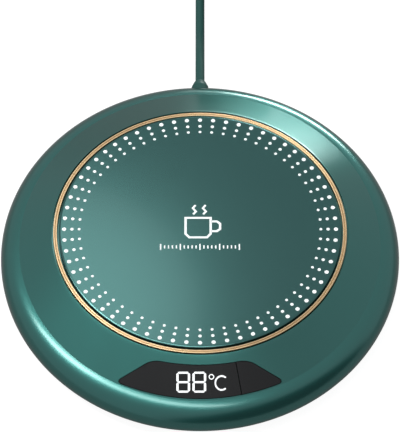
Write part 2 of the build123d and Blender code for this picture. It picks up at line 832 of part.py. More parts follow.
# ---------------------------------------------------------------- base
with BuildPart() as base_cover:
    with BuildSketch(Plane.XY.offset(base_bottom)):
        Ellipse(base_x, base_x * stretch)
    extrude(amount=base_thickness)
    chamfer(base_cover.edges().group_by(Axis.Z)[0], base_gap * 2)
    # Lip that centres the cover in the rim, open where the lead comes in
    with BuildSketch(Plane.XY.offset(base_top)):
        Ellipse(base_x, base_x * stretch)
        Ellipse(base_x - base_lip_width, base_x * stretch - base_lip_width, mode=Mode.SUBTRACT)
        with Locations((0, base_x * stretch)):
            Rectangle(clamp_width, 3 * base_lip_width, mode=Mode.SUBTRACT)
        with Locations(boss_points):
            Circle(boss_radius + base_gap, mode=Mode.SUBTRACT)
    extrude(amount=base_lip_height)
    # Stiffening ring
    with BuildSketch(Plane.XY.offset(base_top)):
        Circle(base_rib_radius)
        Circle(base_rib_radius - base_rib_width, mode=Mode.SUBTRACT)
    extrude(amount=base_rib_height)
    # Posts for the control board
    with BuildSketch(Plane.XY.offset(base_top)):
        with Locations(control_points):
            Circle(control_post_radius)
    extrude(amount=control_post_height)
    with BuildSketch(Plane.XY.offset(control_bottom)):
        with Locations(control_points):
            Circle(small_screw_radius + pilot_gap)
    extrude(amount=-small_screw_length, mode=Mode.SUBTRACT)
    # Saddle that holds the lead
    with BuildSketch(Plane.XY.offset(base_top)):
        with Locations((0, clamp_y)):
            RectangleRounded(clamp_width, clamp_length, clamp_corner)
    extrude(amount=cord_height - clamp_gap / 2 - base_top)
    with BuildSketch(Plane.XZ.offset(-clamp_y - clamp_length)):
        with Locations((0, cord_height)):
            Circle(cord_radius + joint_gap)
    extrude(amount=2 * clamp_length, mode=Mode.SUBTRACT)
    with BuildSketch(Plane.XY.offset(cord_height - clamp_gap / 2)):
        with Locations(clamp_points):
            Circle(small_screw_radius + pilot_gap)
    extrude(amount=-small_screw_length, mode=Mode.SUBTRACT)
    # Screw holes under the bosses and pockets for the feet
    with Locations(*[Location((x, y, base_bottom), (180, 0, 0)) for x, y in boss_points]):
        CounterBoreHole(
            radius=screw_radius + screw_clearance,
            counter_bore_radius=screw_head_radius + screw_clearance,
            counter_bore_depth=screw_head_height,
        )
    with BuildSketch(Plane.XY.offset(base_bottom)):
        with Locations(foot_points):
            Circle(foot_radius + foot_gap)
    extrude(amount=foot_recess, mode=Mode.SUBTRACT)
save("base_cover", base_cover.part)

housing_seat_z = base_bottom + screw_head_height
housing_seats = [Plane(origin=(x, y, housing_seat_z), z_dir=(0, 0, 1)) for x, y in boss_points]
save(
    "housing_screws",
    screws(housing_seats, screw_radius, screw_length, screw_head_radius, screw_head_height),
)

with BuildPart() as rubber_feet:
    with BuildSketch(Plane.XY):
        with Locations(foot_points):
            Circle(foot_radius)
    extrude(amount=base_bottom + foot_recess)
    chamfer(rubber_feet.edges().group_by(Axis.Z)[0], foot_edge_radius)
save("rubber_feet", rubber_feet.part)

# ---------------------------------------------------------------- control board
with BuildPart() as control_board:
    with BuildSketch(Plane.XY.offset(control_bottom)):
        with Locations((0, control_y)):
            RectangleRounded(control_length, control_width, control_corner)
        with Locations(control_points):
            Circle(small_screw_radius + screw_clearance / 2, mode=Mode.SUBTRACT)
    extrude(amount=control_thickness)
save("control_board", control_board.part)

board_seats = [Plane(origin=(x, y, control_top), z_dir=(0, 0, -1)) for x, y in control_points]
save(
    "control_board_screws",
    screws(board_seats, small_screw_radius, small_screw_length, small_head_radius, small_head_height),
)

with BuildPart() as controller_chip:
    with BuildSketch(Plane.XY.offset(control_top)):
        with Locations((chip_x, chip_y)):
            Rectangle(chip_length, chip_width)
    extrude(amount=chip_height)
    chamfer(controller_chip.edges().group_by(Axis.Z)[-1], chip_height / 6)
    with BuildSketch(Plane.XY.offset(control_top)):
        with Locations((chip_x, chip_y)):
            with GridLocations(chip_length / (chip_pins / 2), chip_width + pin_reach, chip_pins // 2, 2):
                Rectangle(pin_width, pin_reach)
    extrude(amount=pin_width)
save("controller_chip", controller_chip.part)

with BuildPart() as smoothing_capacitor:
    with BuildSketch(Plane.YZ.offset(capacitor_x)):
        with Locations((capacitor_y, control_top + capacitor_radius)):
            Circle(capacitor_radius)
    extrude(amount=capacitor_length)
    chamfer(smoothing_capacitor.edges().filter_by(GeomType.CIRCLE), capacitor_radius / 5)
save("smoothing_capacitor", smoothing_capacitor.part)

with BuildPart() as power_transistor:
    with BuildSketch(Plane.XY.offset(control_top)):
        with Locations((transistor_x, transistor_y)):
            Rectangle(transistor_width, transistor_length)
    extrude(amount=transistor_height)
    with BuildSketch(Plane.XY.offset(control_top)):
        with Locations((transistor_x, transistor_y + transistor_length / 2)):
            Rectangle(transistor_tab_width, 2 * pin_reach)
        with Locations((transistor_x, transistor_y - transistor_length / 2)):
            with GridLocations(transistor_pin_pitch, 1, 3, 1):
                Rectangle(2 * pin_width, 2 * pin_reach)
    extrude(amount=pin_width)
save("power_transistor", power_transistor.part)

with BuildPart() as ribbon_socket:
    with BuildSketch(Plane.XY.offset(control_top)):
        with Locations((socket_x, control_front)):
            Rectangle(socket_length, socket_width, align=(Align.CENTER, Align.MIN))
    extrude(amount=socket_height)
    with BuildSketch(Plane.XZ.offset(-control_front)):
        with Locations((socket_x, ribbon_z)):
            Rectangle(ribbon_width + 2 * joint_gap, ribbon_thickness + 2 * joint_gap)
    extrude(amount=-socket_width / 2, mode=Mode.SUBTRACT)
save("ribbon_socket", ribbon_socket.part)

with BuildPart() as terminal_block:
    with BuildSketch(Plane.XY.offset(control_top)):
        with Locations((0, control_back)):
            Rectangle(terminal_length, terminal_width, align=(Align.CENTER, Align.MAX))
    extrude(amount=terminal_height)
    with BuildSketch(Plane.XZ.offset(-control_back)):
        with Locations((-core_pitch / 2, terminal_z), (core_pitch / 2, terminal_z)):
            Circle(core_radius + joint_gap)
    extrude(amount=terminal_width / 2, mode=Mode.SUBTRACT)
save("terminal_block", terminal_block.part)

# ---------------------------------------------------------------- wires inside the body
# Flat cable from the back of the display board to its socket
ribbon_start = board_back.from_local_coords((socket_x, display_board_top / 2, 0))
ribbon_drop = board_back.from_local_coords((socket_x, display_board_top / 2, -ribbon_fall))
ribbon_route = [
    (socket_x, ribbon_start.Y, ribbon_start.Z),
    (socket_x, ribbon_drop.Y, ribbon_drop.Z),
    (socket_x, control_front - socket_length, ribbon_z),
    (socket_x, control_front + socket_width / 2 - joint_gap, ribbon_z),
]
with BuildPart() as ribbon_cable:
    with BuildLine() as ribbon_line:
        FilletPolyline(*ribbon_route, radius=arc_radii(ribbon_route))
    ribbon_path = ribbon_line.wires()[0]
    with BuildSketch(Plane(origin=ribbon_path @ 0, x_dir=(1, 0, 0), z_dir=ribbon_path % 0)):
        Rectangle(ribbon_width, ribbon_thickness)
    sweep(path=ribbon_path)
save("ribbon_cable", ribbon_cable.part)

heater_lead_routes = [
    [
        (-lead_window_offset, y, element_bottom - element_thickness),
        (-lead_window_offset, y, retainer_bottom - joint_gap),
        (-lead_window_offset - lead_slack, y, control_top + lead_slack),
        (-lead_window_offset - lead_slack, y, control_top),
    ]
    for y in (-solder_pitch / 2, solder_pitch / 2)
]
save("heater_leads", wires(heater_lead_routes, core_radius))

cutoff_end = cutoff_length / 2
cutoff_turn = (cutoff_end + cutoff_slot / 2) / 2
cutoff_lead_routes = [
    [
        (cutoff_offset, side * cutoff_end, element_bottom - cutoff_radius),
        (cutoff_offset, side * cutoff_turn, element_bottom - cutoff_radius),
        (cutoff_offset, side * cutoff_turn, control_top),
    ]
    for side in (-1, 1)
]
save("cutoff_leads", wires(cutoff_lead_routes, cutoff_lead_radius))

sensor_lead_routes = [
    [
        (x, 0, element_bottom - sensor_length),
        (x, 0, element_bottom - sensor_length - lead_slack * 2 / 3),
        (2 * x, lead_slack, control_top + lead_slack / 2),
        (2 * x, lead_slack, control_top),
    ]
    for x in (-sensor_lead_offset, sensor_lead_offset)
]
save("sensor_leads", wires(sensor_lead_routes, fine_core_radius))

power_lead_routes = [
    [
        (side * core_pitch_at_jacket / 2, cord_inner_end, cord_height),
        (side * core_pitch_at_jacket / 2, cord_inner_end - terminal_width, cord_height),
        (side * core_pitch / 2, control_back + terminal_width, terminal_z),
        (side * core_pitch / 2, control_back - terminal_width / 2 + joint_gap, terminal_z),
    ]
    for side in (-1, 1)
]
save("power_leads", wires(power_lead_routes, core_radius))

# ---------------------------------------------------------------- lead where it enters the body
with BuildPart() as power_cord_inner:
    with BuildSketch(Plane.XZ.offset(-cord_inner_end)):
        with Locations((0, cord_height)):
            Circle(cord_radius)
    extrude(amount=cord_inner_end - wall_exit_y)
save("power_cord_inner", power_cord_inner.part)

# A flange inside the wall, a neck in the hole and a tapered collar outside, moulded in one
with BuildPart() as relief_blank:
    with BuildSketch(Plane.YZ):
        with BuildLine():
            Polyline(
                (relief_inner_y, cord_height + cord_radius + joint_gap),
                (relief_inner_y, cord_height + relief_flange_radius),
                (inner_wall_y, cord_height + relief_flange_radius),
                (inner_wall_y, cord_height + relief_neck_radius),
                (inner_wall_y + wall / 2, cord_height + relief_neck_radius),
                (inner_wall_y + wall / 2, cord_height + collar_radius),
                (wall_exit_y, cord_height + collar_radius),
                (collar_end_y, cord_height + cord_radius + collar_end_wall),
                (collar_end_y, cord_height + cord_radius + joint_gap),
                (relief_inner_y, cord_height + cord_radius + joint_gap),
            )
        make_face()
    revolve(axis=Axis((0, 0, cord_height), (0, 1, 0)))

with BuildPart() as strain_relief:
    add(relief_blank.part)
    add(upper_housing.part, mode=Mode.SUBTRACT)
save("strain_relief", strain_relief.part)

clamp_bottom = cord_height + clamp_gap / 2
with BuildPart() as cord_clamp:
    with BuildSketch(Plane.XY.offset(clamp_bottom)):
        with Locations((0, clamp_y)):
            RectangleRounded(clamp_width, clamp_length, clamp_corner)
        with Locations(clamp_points):
            Circle(small_screw_radius + screw_clearance / 2, mode=Mode.SUBTRACT)
    extrude(amount=clamp_thickness)
    with BuildSketch(Plane.XZ.offset(-clamp_y - clamp_length)):
        with Locations((0, cord_height)):
            Circle(cord_radius + joint_gap)
    extrude(amount=2 * clamp_length, mode=Mode.SUBTRACT)
save("cord_clamp", cord_clamp.part)

clamp_top = clamp_bottom + clamp_thickness
clamp_seats = [Plane(origin=(x, y, clamp_top), z_dir=(0, 0, -1)) for x, y in clamp_points]
save(
    "cord_clamp_screws",
    screws(clamp_seats, small_screw_radius, clamp_screw_length, small_head_radius, small_head_height),
)

# ---------------------------------------------------------------- lead outside the body
coil_low = coil_lift + cord_radius
coil_high = coil_low + 2 * cord_radius * (coil_layers - 1)
coil_exit_y = coil_centre_y + coil_exit_radius
plug_z = plug_height / 2

# Routes, point by point
run_route = [
    (0, wall_exit_y, cord_height),
    (0, 78, cord_height),
    (0, 93, cord_radius),
    (0, 101, cord_radius),
    (0, 110, coil_low),
    (0, coil_centre_y - coil_stub_in, coil_low),
]
end_route = [
    (coil_outer_turn + coil_stub_out, coil_exit_y, coil_high),
    (46, coil_exit_y, coil_high),
    (57, 145, 6.5),
    (69, plug_y, plug_z),
    (plug_start_x, plug_y, plug_z),
]
for name, route in (("power_cord_run", run_route), ("power_cord_end", end_route)):
    print(name, "radii", [round(radius, 1) for radius in arc_radii(route)])
    save(name, tube(route, cord_radius))

ring_thick = 2 * (cord_radius * coil_columns + coil_slack)
ring_high = 2 * (cord_radius * coil_layers + coil_slack)
ring_outer = coil_outer_turn + cord_radius + coil_slack
ring_middle = (ring_outer - ring_thick / 2, coil_lift - coil_slack + ring_high / 2)
coil_centre = (coil_outer_turn, coil_centre_y, 0)
coil_axis = Axis(coil_centre, (0, 0, 1))


def coil_section(angle):
    """Upright plane through the axis of the coil, its X pointing outwards at an angle in degrees."""
    turn = math.radians(angle)
    outwards = Vector(math.cos(turn), math.sin(turn), 0)
    return Plane(origin=coil_centre, x_dir=outwards, z_dir=outwards.cross(Vector(0, 0, 1)))


with BuildPart() as power_cord_coil:
    with BuildSketch(coil_section(0)) as coil_face:
        with Locations(ring_middle):
            Rectangle(ring_thick, ring_high)
        chamfer(coil_face.vertices(), coil_edge)
    revolve(axis=coil_axis)
    # Where the cord enters on the lowest layer and leaves on the highest
    with BuildSketch(Plane.XZ.offset(coil_stub_in - coil_centre_y)):
        with Locations((0, coil_low)):
            Circle(cord_radius)
    extrude(amount=-coil_stub_in)
    with BuildSketch(Plane.YZ.offset(coil_outer_turn)):
        with Locations((coil_exit_y, coil_high)):
            Circle(cord_radius)
    extrude(amount=coil_stub_out)
save("power_cord_coil", power_cord_coil.part)

tie_turn = math.degrees(tie_width / ring_middle[0])
tie_edge = coil_edge + tie_thickness * (2 - math.sqrt(2))
with BuildPart() as cord_ties:
    for angle in tie_angles:
        with BuildSketch(coil_section(angle - tie_turn / 2)) as tie_outer:
            with Locations(ring_middle):
                Rectangle(ring_thick + 2 * tie_thickness, ring_high + 2 * tie_thickness)
            chamfer(tie_outer.vertices(), tie_edge)
        with BuildSketch(coil_section(angle - tie_turn / 2)) as tie_inner:
            with Locations(ring_middle):
                Rectangle(ring_thick, ring_high)
            chamfer(tie_inner.vertices(), coil_edge)
        revolve(tie_outer.sketch - tie_inner.sketch, axis=coil_axis, revolution_arc=tie_turn)
save("cord_ties", cord_ties.part)

# ---------------------------------------------------------------- plug
neck_end_x = plug_start_x + neck_length
plug_front_x = neck_end_x + plug_length
shell_start_x = plug_front_x - shell_sunk
shell_mouth_x = plug_front_x + shell_length


def plug_section(x):
    """Plane across the plug at one place along it, with the plug's middle at its origin."""
    return Plane(origin=(x, plug_y, plug_z), x_dir=(0, 1, 0), z_dir=(1, 0, 0))


with BuildPart() as plug_overmould:
    with BuildSketch(plug_section(neck_end_x)):
        RectangleRounded(plug_width, plug_height, plug_corner)
    extrude(amount=plug_length)
    chamfer(plug_overmould.faces().sort_by(Axis.X)[0].edges(), plug_back_edge)
    with BuildSketch(plug_section(plug_start_x)):
        Circle(neck_end_radius)
    with BuildSketch(plug_section(neck_end_x)):
        Circle(neck_radius)
    loft()
    # Shallow thumb rests above and below
    with BuildSketch(Plane.XY.offset(plug_height - grip_depth)):
        with Locations((neck_end_x + plug_length / 2, plug_y)):
            RectangleRounded(grip_length, grip_width, plug_corner)
    extrude(amount=plug_height, mode=Mode.SUBTRACT)
    with BuildSketch(Plane.XY.offset(grip_depth)):
        with Locations((neck_end_x + plug_length / 2, plug_y)):
            RectangleRounded(grip_length, grip_width, plug_corner)
    extrude(amount=-plug_height, mode=Mode.SUBTRACT)
    with BuildSketch(plug_section(shell_start_x)):
        RectangleRounded(shell_width, shell_height, shell_corner)
    extrude(amount=plug_length, mode=Mode.SUBTRACT)
save("plug_overmould", plug_overmould.part)

with BuildPart() as plug_shell:
    with BuildSketch(plug_section(shell_start_x)):
        RectangleRounded(shell_width, shell_height, shell_corner)
        offset(amount=-shell_wall, mode=Mode.SUBTRACT)
    extrude(amount=shell_sunk + shell_length)
    with BuildSketch(Plane.XY):
        with Locations((shell_mouth_x - shell_window_back, plug_y)):
            with GridLocations(1, shell_window_pitch, 1, 2):
                Rectangle(shell_window_length, shell_window_width)
    extrude(amount=plug_height, mode=Mode.SUBTRACT)
save("plug_shell", plug_shell.part)

insulator_bottom = plug_z - shell_height / 2 + shell_wall
insulator_end_x = shell_mouth_x - insulator_recess
with BuildPart() as plug_insulator:
    with BuildSketch(Plane.XY.offset(insulator_bottom)):
        with Locations((shell_start_x, plug_y)):
            Rectangle(insulator_end_x - shell_start_x, insulator_width, align=(Align.MIN, Align.CENTER))
    extrude(amount=insulator_height)
    fillet(plug_insulator.edges().filter_by(Axis.X).group_by(Axis.Z)[0], shell_corner - shell_wall)
save("plug_insulator", plug_insulator.part)

with BuildPart() as plug_contacts:
    with BuildSketch(Plane.XY.offset(insulator_bottom + insulator_height)):
        with Locations(*[(insulator_end_x - insulator_recess, plug_y + place) for place in contact_places]):
            Rectangle(contact_length, contact_width, align=(Align.MAX, Align.CENTER))
    extrude(amount=contact_height)
save("plug_contacts", plug_contacts.part)
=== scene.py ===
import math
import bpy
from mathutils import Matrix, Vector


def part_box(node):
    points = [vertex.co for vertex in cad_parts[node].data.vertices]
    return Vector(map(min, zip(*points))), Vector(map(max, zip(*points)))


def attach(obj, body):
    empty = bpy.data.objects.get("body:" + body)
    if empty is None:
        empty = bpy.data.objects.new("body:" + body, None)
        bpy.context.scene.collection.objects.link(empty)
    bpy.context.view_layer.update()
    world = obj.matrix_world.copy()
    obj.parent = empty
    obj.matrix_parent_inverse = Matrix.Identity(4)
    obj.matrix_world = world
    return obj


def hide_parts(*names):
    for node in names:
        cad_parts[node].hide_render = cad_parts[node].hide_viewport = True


bl_info = {
    "name": "Electric Mug Warmer",
    "version": (1, 0, 0),
    "blender": (4, 5, 0),
    "location": "View3D > Sidebar > Mug Warmer",
    "description": "Dresses the frame of an oval electric mug warmer with a display and a USB lead",
    "category": "Add Mesh",
}

import bmesh
import bpy
from bpy.props import FloatProperty, FloatVectorProperty, IntProperty, PointerProperty
from mathutils import Matrix, Quaternion, Vector

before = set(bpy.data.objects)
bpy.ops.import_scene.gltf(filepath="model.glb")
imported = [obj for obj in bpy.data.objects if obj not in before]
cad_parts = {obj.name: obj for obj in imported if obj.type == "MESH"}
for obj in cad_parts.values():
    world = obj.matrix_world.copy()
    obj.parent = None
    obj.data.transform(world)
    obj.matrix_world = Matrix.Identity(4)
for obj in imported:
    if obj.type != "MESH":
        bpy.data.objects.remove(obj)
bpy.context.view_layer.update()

MM = 0.001
FULL_TURN = 2 * math.pi
AROUND = 384  # steps round the body
CONE_CUTS = 9  # corners on the straight slope of the cone
CRISP = 9.0  # degrees at which an edge of the moulded body stays sharp
THROUGH = 12 * MM  # reach of a cutter to both sides of the panel's plane
SUNK = 0.01 * MM  # how far a printed mark reaches into the plate
GRAIN_DEPTH = 0.01 * MM
housing_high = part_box("upper_housing")[1]
plate_low, plate_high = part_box("heating_plate")
ring_low, ring_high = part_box("gold_trim_ring")


# ---------------------------------------------------------------- sizes and colours
def length(name, description, default):
    """A length in metres."""
    return FloatProperty(
        name=name, description=description, default=default, min=0.0, precision=5,
        subtype="DISTANCE", unit="LENGTH",
    )


def angle(name, description, degrees):
    """An angle, given in degrees."""
    return FloatProperty(name=name, description=description, default=math.radians(degrees), subtype="ANGLE")


def colour(name, description, red, green, blue):
    """A colour property from the 0 to 255 values that a designer would quote."""
    return FloatVectorProperty(
        name=name, description=description, size=3, min=0.0, max=1.0, subtype="COLOR",
        default=[linear(part / 255) for part in (red, green, blue)],
    )


def linear(part):
    """The linear value of a part of an sRGB colour, both from 0 to 1."""
    return part / 12.92 if part <= 0.04045 else ((part + 0.055) / 1.055) ** 2.4


class BodySettings(bpy.types.PropertyGroup):
    half_width: length("Half width", "From the middle to the widest line along X", housing_high.x)
    half_length: length("Half length", "From the middle to the widest line along Y", housing_high.y)
    equator: length("Widest line", "Height of the widest line above the table", 6.9 * MM)
    crease: length("Crease", "From the middle to the crease between cone and rim along X", 57.8 * MM)
    crease_height: length("Crease height", "Height of the crease above the table", 13.6 * MM)
    shoulder: angle("Shoulder", "Part of an ellipse that the rim's shoulder takes up", 70)
    tuck: length("Tuck radius", "Rounding of the rim below its widest line", 3.0 * MM)
    tuck_turn: angle("Tuck", "How far the rim turns under", 75)
    cone_top: length("Cone top", "Height of the cone's upper edge", 20.9 * MM)
    wall: length("Wall", "Wall of the rim", 2.2 * MM)
    cone_wall: length("Cone wall", "Wall of the cone, measured straight down", 2.4 * MM)
    groove: length("Groove radius", "Outer wall of the groove for the trim ring", 47.3 * MM)
    green: colour("Green", "Colour of the moulded body", 32, 101, 95)


class PlateSettings(bpy.types.PropertyGroup):
    radius: length("Radius", "Radius of the heating plate", plate_high.x)
    top: length("Top", "Height of the plate's face", plate_high.z)
    bottom: length("Bottom", "Height of the plate's underside", plate_low.z)
    edge: length("Edge", "Width of the plate's bevelled edge", 0.6 * MM)
    ring_outer: length("Ring radius", "Outer radius of the trim ring", ring_high.x)
    ring_width: length("Ring width", "Width of the trim ring", 1.35 * MM)
    ring_dip: length("Ring groove", "Depth of the groove along the trim ring", 0.3 * MM)
    dot_columns: IntProperty(
        name="Dot columns", description="Columns of dots round the plate", default=64, min=8,
    )
    print_depth: length("Print", "Thickness of the printed marks", 0.03 * MM)
    glass: colour("Glass", "Colour of the coated plate", 60, 98, 95)
    gold: colour("Gold", "Colour of the trim ring", 214, 185, 145)
    marks: colour("Marks", "Colour of the printed marks", 250, 252, 251)


class PanelSettings(bpy.types.PropertyGroup):
    origin_y: length("Place", "From the middle to the panel's origin on the cone", 54.69 * MM)
    origin_z: length("Height", "Height of the panel's origin", 16.58 * MM)
    tip_x: length("Tip across", "From the middle of the panel to a pointed end", 26.2 * MM)
    tip_y: length("Tip up", "How far the pointed ends lie above the origin", 0.3 * MM)
    corner_x: length("Corner across", "From the middle to an upper corner", 14.8 * MM)
    corner_y: length("Corner up", "How far the upper corners lie above the origin", 6.9 * MM)
    bottom: length("Bottom", "Reach of the panel below its origin", 5.13 * MM)
    top: length("Top", "Reach of the panel above its origin", 5.2 * MM)
    corner_round: length("Corner rounding", "Radius of the upper corners", 7.5 * MM)
    tip_round: length("Tip rounding", "Radius of the pointed ends", 0.9 * MM)
    gap: length("Gap", "Gap between the panel and the body", 0.2 * MM)
    seam: length("Seam", "From the middle of the panel to the seam beside the key", 12.3 * MM)
    seam_width: length("Seam width", "Gap between the window and the key", 0.24 * MM)
    seam_lean: angle("Seam lean", "Lean of the seam", 10.5)
    window_depth: length("Window", "Thickness of the window, straight down", 1.6 * MM)
    key_depth: length("Key", "Depth of the key, straight down", 4.6 * MM)
    black: colour("Black", "Colour of the window and the key", 22, 22, 23)
    glow: colour("Glow", "Colour of the lit figures", 250, 252, 252)


class LeadSettings(bpy.types.PropertyGroup):
    diameter: length("Diameter", "Outer diameter of the lead", 3.0 * MM)
    real_length: length("Length", "Real length of the lead", 1.2)
    exit_y: length("Exit", "Where the lead leaves the body", 66.04 * MM)
    exit_z: length("Exit height", "Height of the lead where it leaves the body", 8.2 * MM)
    collar: length("Collar radius", "Radius of the collar at the body", 2.8 * MM)
    collar_end: length("Collar end", "Radius of the collar at its far end", 1.85 * MM)
    coil_x: length("Coil across", "Middle of the put-away coil", 19.1 * MM)
    coil_y: length("Coil back", "Middle of the put-away coil", 132.0 * MM)
    green: colour("Green", "Colour of the lead's jacket", 32, 72, 67)


class StageSettings(bpy.types.PropertyGroup):
    elevation: angle("Elevation", "Camera above the horizon", 54.9)
    distance: length("Distance", "From the camera to the middle of the plate", 1.22)
    lens: FloatProperty(name="Lens", description="Focal length in millimetres", default=319.2, min=10.0)
    shift: FloatProperty(name="Shift", description="Upward shift of the frame", default=0.0305)


GROUPS = {
    "warmer_body": BodySettings,
    "warmer_plate": PlateSettings,
    "warmer_panel": PanelSettings,
    "warmer_lead": LeadSettings,
    "warmer_stage": StageSettings,
}


# ---------------------------------------------------------------- finishes
class Flow:
    """A socket of a finish. Arithmetic on it adds Math nodes."""

    def __init__(self, paint, socket):
        self.paint = paint
        self.socket = socket

    def maths(self, operation, first, second):
        return self.paint.node("ShaderNodeMath", {"operation": operation}, {0: first, 1: second})

    def __add__(self, other):
        return self.maths("ADD", self, other)

    def __radd__(self, other):
        return self.maths("ADD", other, self)

    def __sub__(self, other):
        return self.maths("SUBTRACT", self, other)

    def __mul__(self, other):
        return self.maths("MULTIPLY", self, other)


class Paint:
    """A finish under construction, or the room where a world is given."""

    def __init__(self, name, world=None):
        self.material = world or bpy.data.materials.new(name)
        self.material.use_nodes = True
        self.tree = self.material.node_tree
        self.shader = self.tree.nodes["Background" if world else "Principled BSDF"]
        self.place = self.node("ShaderNodeTexCoord", output="Generated" if world else "Object")

    def node(self, kind, settings=None, inputs=None, output=0):
        """Add a node of this kind, with its settings first and then its sockets."""
        node = self.tree.nodes.new(kind)
        for name, value in (settings or {}).items():
            setattr(node, name, value)
        for name, value in (inputs or {}).items():
            self.feed(node.inputs[name], value)
        return Flow(self, node.outputs[output])

    def feed(self, socket, value):
        """Link a varying value to a socket, or set a uniform one on it."""
        if isinstance(value, Flow):
            self.tree.links.new(value.socket, socket)
        else:
            socket.default_value = value

    def set(self, **sockets):
        """Set or link the shader's own sockets, named with underscores for spaces."""
        for name, value in sockets.items():
            self.feed(self.shader.inputs[name.replace("_", " ")], value)

    def noise(self, size, detail=2.0, stretch=(1, 1, 1)):
        """Noise with features of about this size in metres."""
        place = self.place
        if stretch != (1, 1, 1):
            place = self.node("ShaderNodeMapping", inputs={"Vector": place, "Scale": stretch})
        sockets = {"Vector": place, "Scale": 1 / size, "Detail": detail}
        return self.node("ShaderNodeTexNoise", inputs=sockets)

    def blend(self, factor, first, second):
        """A colour between two others. 0, 6 and 7 are the Mix node's factor and its two colours."""
        return self.node("ShaderNodeMix", {"data_type": "RGBA"}, {0: factor, 6: first, 7: second}, output=2)


def shade(base, factor):
    """A colour made lighter or darker, with its alpha."""
    return [min(1.0, part * factor) for part in base[:3]] + [1.0]


def surface(name, base, roughness, grain=0.4 * MM, spread=0.08, wear=0.05, bump=0.15,
            stretch=(1, 1, 1), **uniform):
    """A finish with a fine grain, a broad change of tone and a slightly uneven gloss."""
    paint = Paint(name)
    fine = paint.noise(grain, 3.0, stretch)
    broad = paint.noise(grain * 40)
    tone = fine * 0.5 + broad * 0.5
    paint.set(
        Base_Color=paint.blend(tone, shade(base, 1 - spread), shade(base, 1 + spread)),
        Roughness=roughness + (fine + broad - 1.0) * wear,
        Normal=paint.node(
            "ShaderNodeBump", inputs={"Strength": bump, "Distance": GRAIN_DEPTH, "Height": fine}
        ),
        **uniform,
    )
    return paint.material


# ---------------------------------------------------------------- mesh helpers
def publish(name, mesh, material, slot, body="housing", sharp=30.0, replaced=()):
    """Turn a finished bmesh into a piece that rides on a body."""
    smooth_by_angle(mesh, sharp)
    data = bpy.data.meshes.new(name)
    mesh.to_mesh(data)
    mesh.free()
    piece = bpy.data.objects.new(name, data)
    bpy.context.scene.collection.objects.link(piece)
    if material:
        data.materials.append(material)
    if slot:
        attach(piece, body)
    if replaced:
        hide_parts(*replaced)
    return piece


def smooth_by_angle(mesh, degrees):
    """Shade smoothly, with sharp edges where two faces meet at more than this angle."""
    limit = math.radians(degrees)
    for face in mesh.faces:
        face.smooth = True
    for edge in mesh.edges:
        edge.smooth = len(edge.link_faces) == 2 and edge.calc_face_angle(0.0) < limit


def tidy(mesh):
    """Merge doubles, then turn every face outwards."""
    bmesh.ops.remove_doubles(mesh, verts=mesh.verts, dist=0.0005 * MM)
    bmesh.ops.recalc_face_normals(mesh, faces=mesh.faces)


def round_corner(mesh, corner, reach, segments):
    """Round one corner of a flat outline, from this far along both its edges."""
    bmesh.ops.bevel(
        mesh, geom=[corner], offset=reach, offset_type="OFFSET", affect="VERTICES", segments=segments,
        profile=0.5, material=-1, clamp_overlap=True,
    )


class Section:
    """A closed section in the XZ plane, drawn corner by corner and turned round the Z axis."""

    def __init__(self):
        self.mesh = bmesh.new()
        self.last = None
        self.first = None
        self.rounded = []

    def to(self, x, z, reach=0.0, segments=3):
        """A straight edge to a corner at (x, z), which is rounded from reach on both sides."""
        corner = self.mesh.verts.new((x, 0, z))
        if self.last:
            self.mesh.edges.new((self.last, corner))
        else:
            self.first = corner
        self.last = corner
        if reach:
            self.rounded.append((corner, reach, segments))
        return self

    def line(self, x, z, cuts):
        """A straight run to (x, z) with evenly spaced corners on it."""
        start = self.last.co.copy()
        for number in range(1, cuts + 1):
            self.to(*start.lerp(Vector((x, 0, z)), number / (cuts + 1)).xz)
        return self.to(x, z)

    def arc(self, x, z, turn, steps, flatten=1.0):
        """Turn the last corner about (x, z), clockwise where turn is positive, as a flattened circle."""
        middle = Vector((x, 0, z))
        self.last.co.z = z + (self.last.co.z - z) / flatten
        start = self.last
        count = len(self.mesh.verts)
        bmesh.ops.spin(self.mesh, geom=[start], cent=middle, axis=(0, 1, 0), angle=turn, steps=steps)
        self.mesh.verts.ensure_lookup_table()
        made = self.mesh.verts[count:]
        self.last = made[-1]
        bmesh.ops.scale(
            self.mesh, vec=(1, 1, flatten), space=Matrix.Translation(-middle), verts=[start, *made]
        )
        return self

    def close(self):
        """Close the section and round its corners."""
        self.mesh.edges.new((self.last, self.first))
        bmesh.ops.contextual_create(self.mesh, geom=self.mesh.edges[:])
        for corner, reach, segments in self.rounded:
            round_corner(self.mesh, corner, reach, segments)
        bmesh.ops.delete(self.mesh, geom=self.mesh.faces[:], context="FACES_ONLY")
        return self

    def turned(self, steps=AROUND, start=0.0, sweep=FULL_TURN):
        """The section turned round the Z axis, closed at its ends if it stops short of a full turn."""
        mesh = self.mesh
        bmesh.ops.rotate(mesh, cent=(0, 0, 0), matrix=Matrix.Rotation(start, 3, "Z"), verts=mesh.verts)
        full = sweep == FULL_TURN
        bmesh.ops.spin(
            mesh, geom=mesh.verts[:] + mesh.edges[:], cent=(0, 0, 0), axis=(0, 0, 1), angle=sweep,
            steps=steps, use_merge=full,
        )
        if not full:
            bmesh.ops.holes_fill(mesh, edges=[edge for edge in mesh.edges if edge.is_boundary], sides=0)
        tidy(mesh)
        return mesh


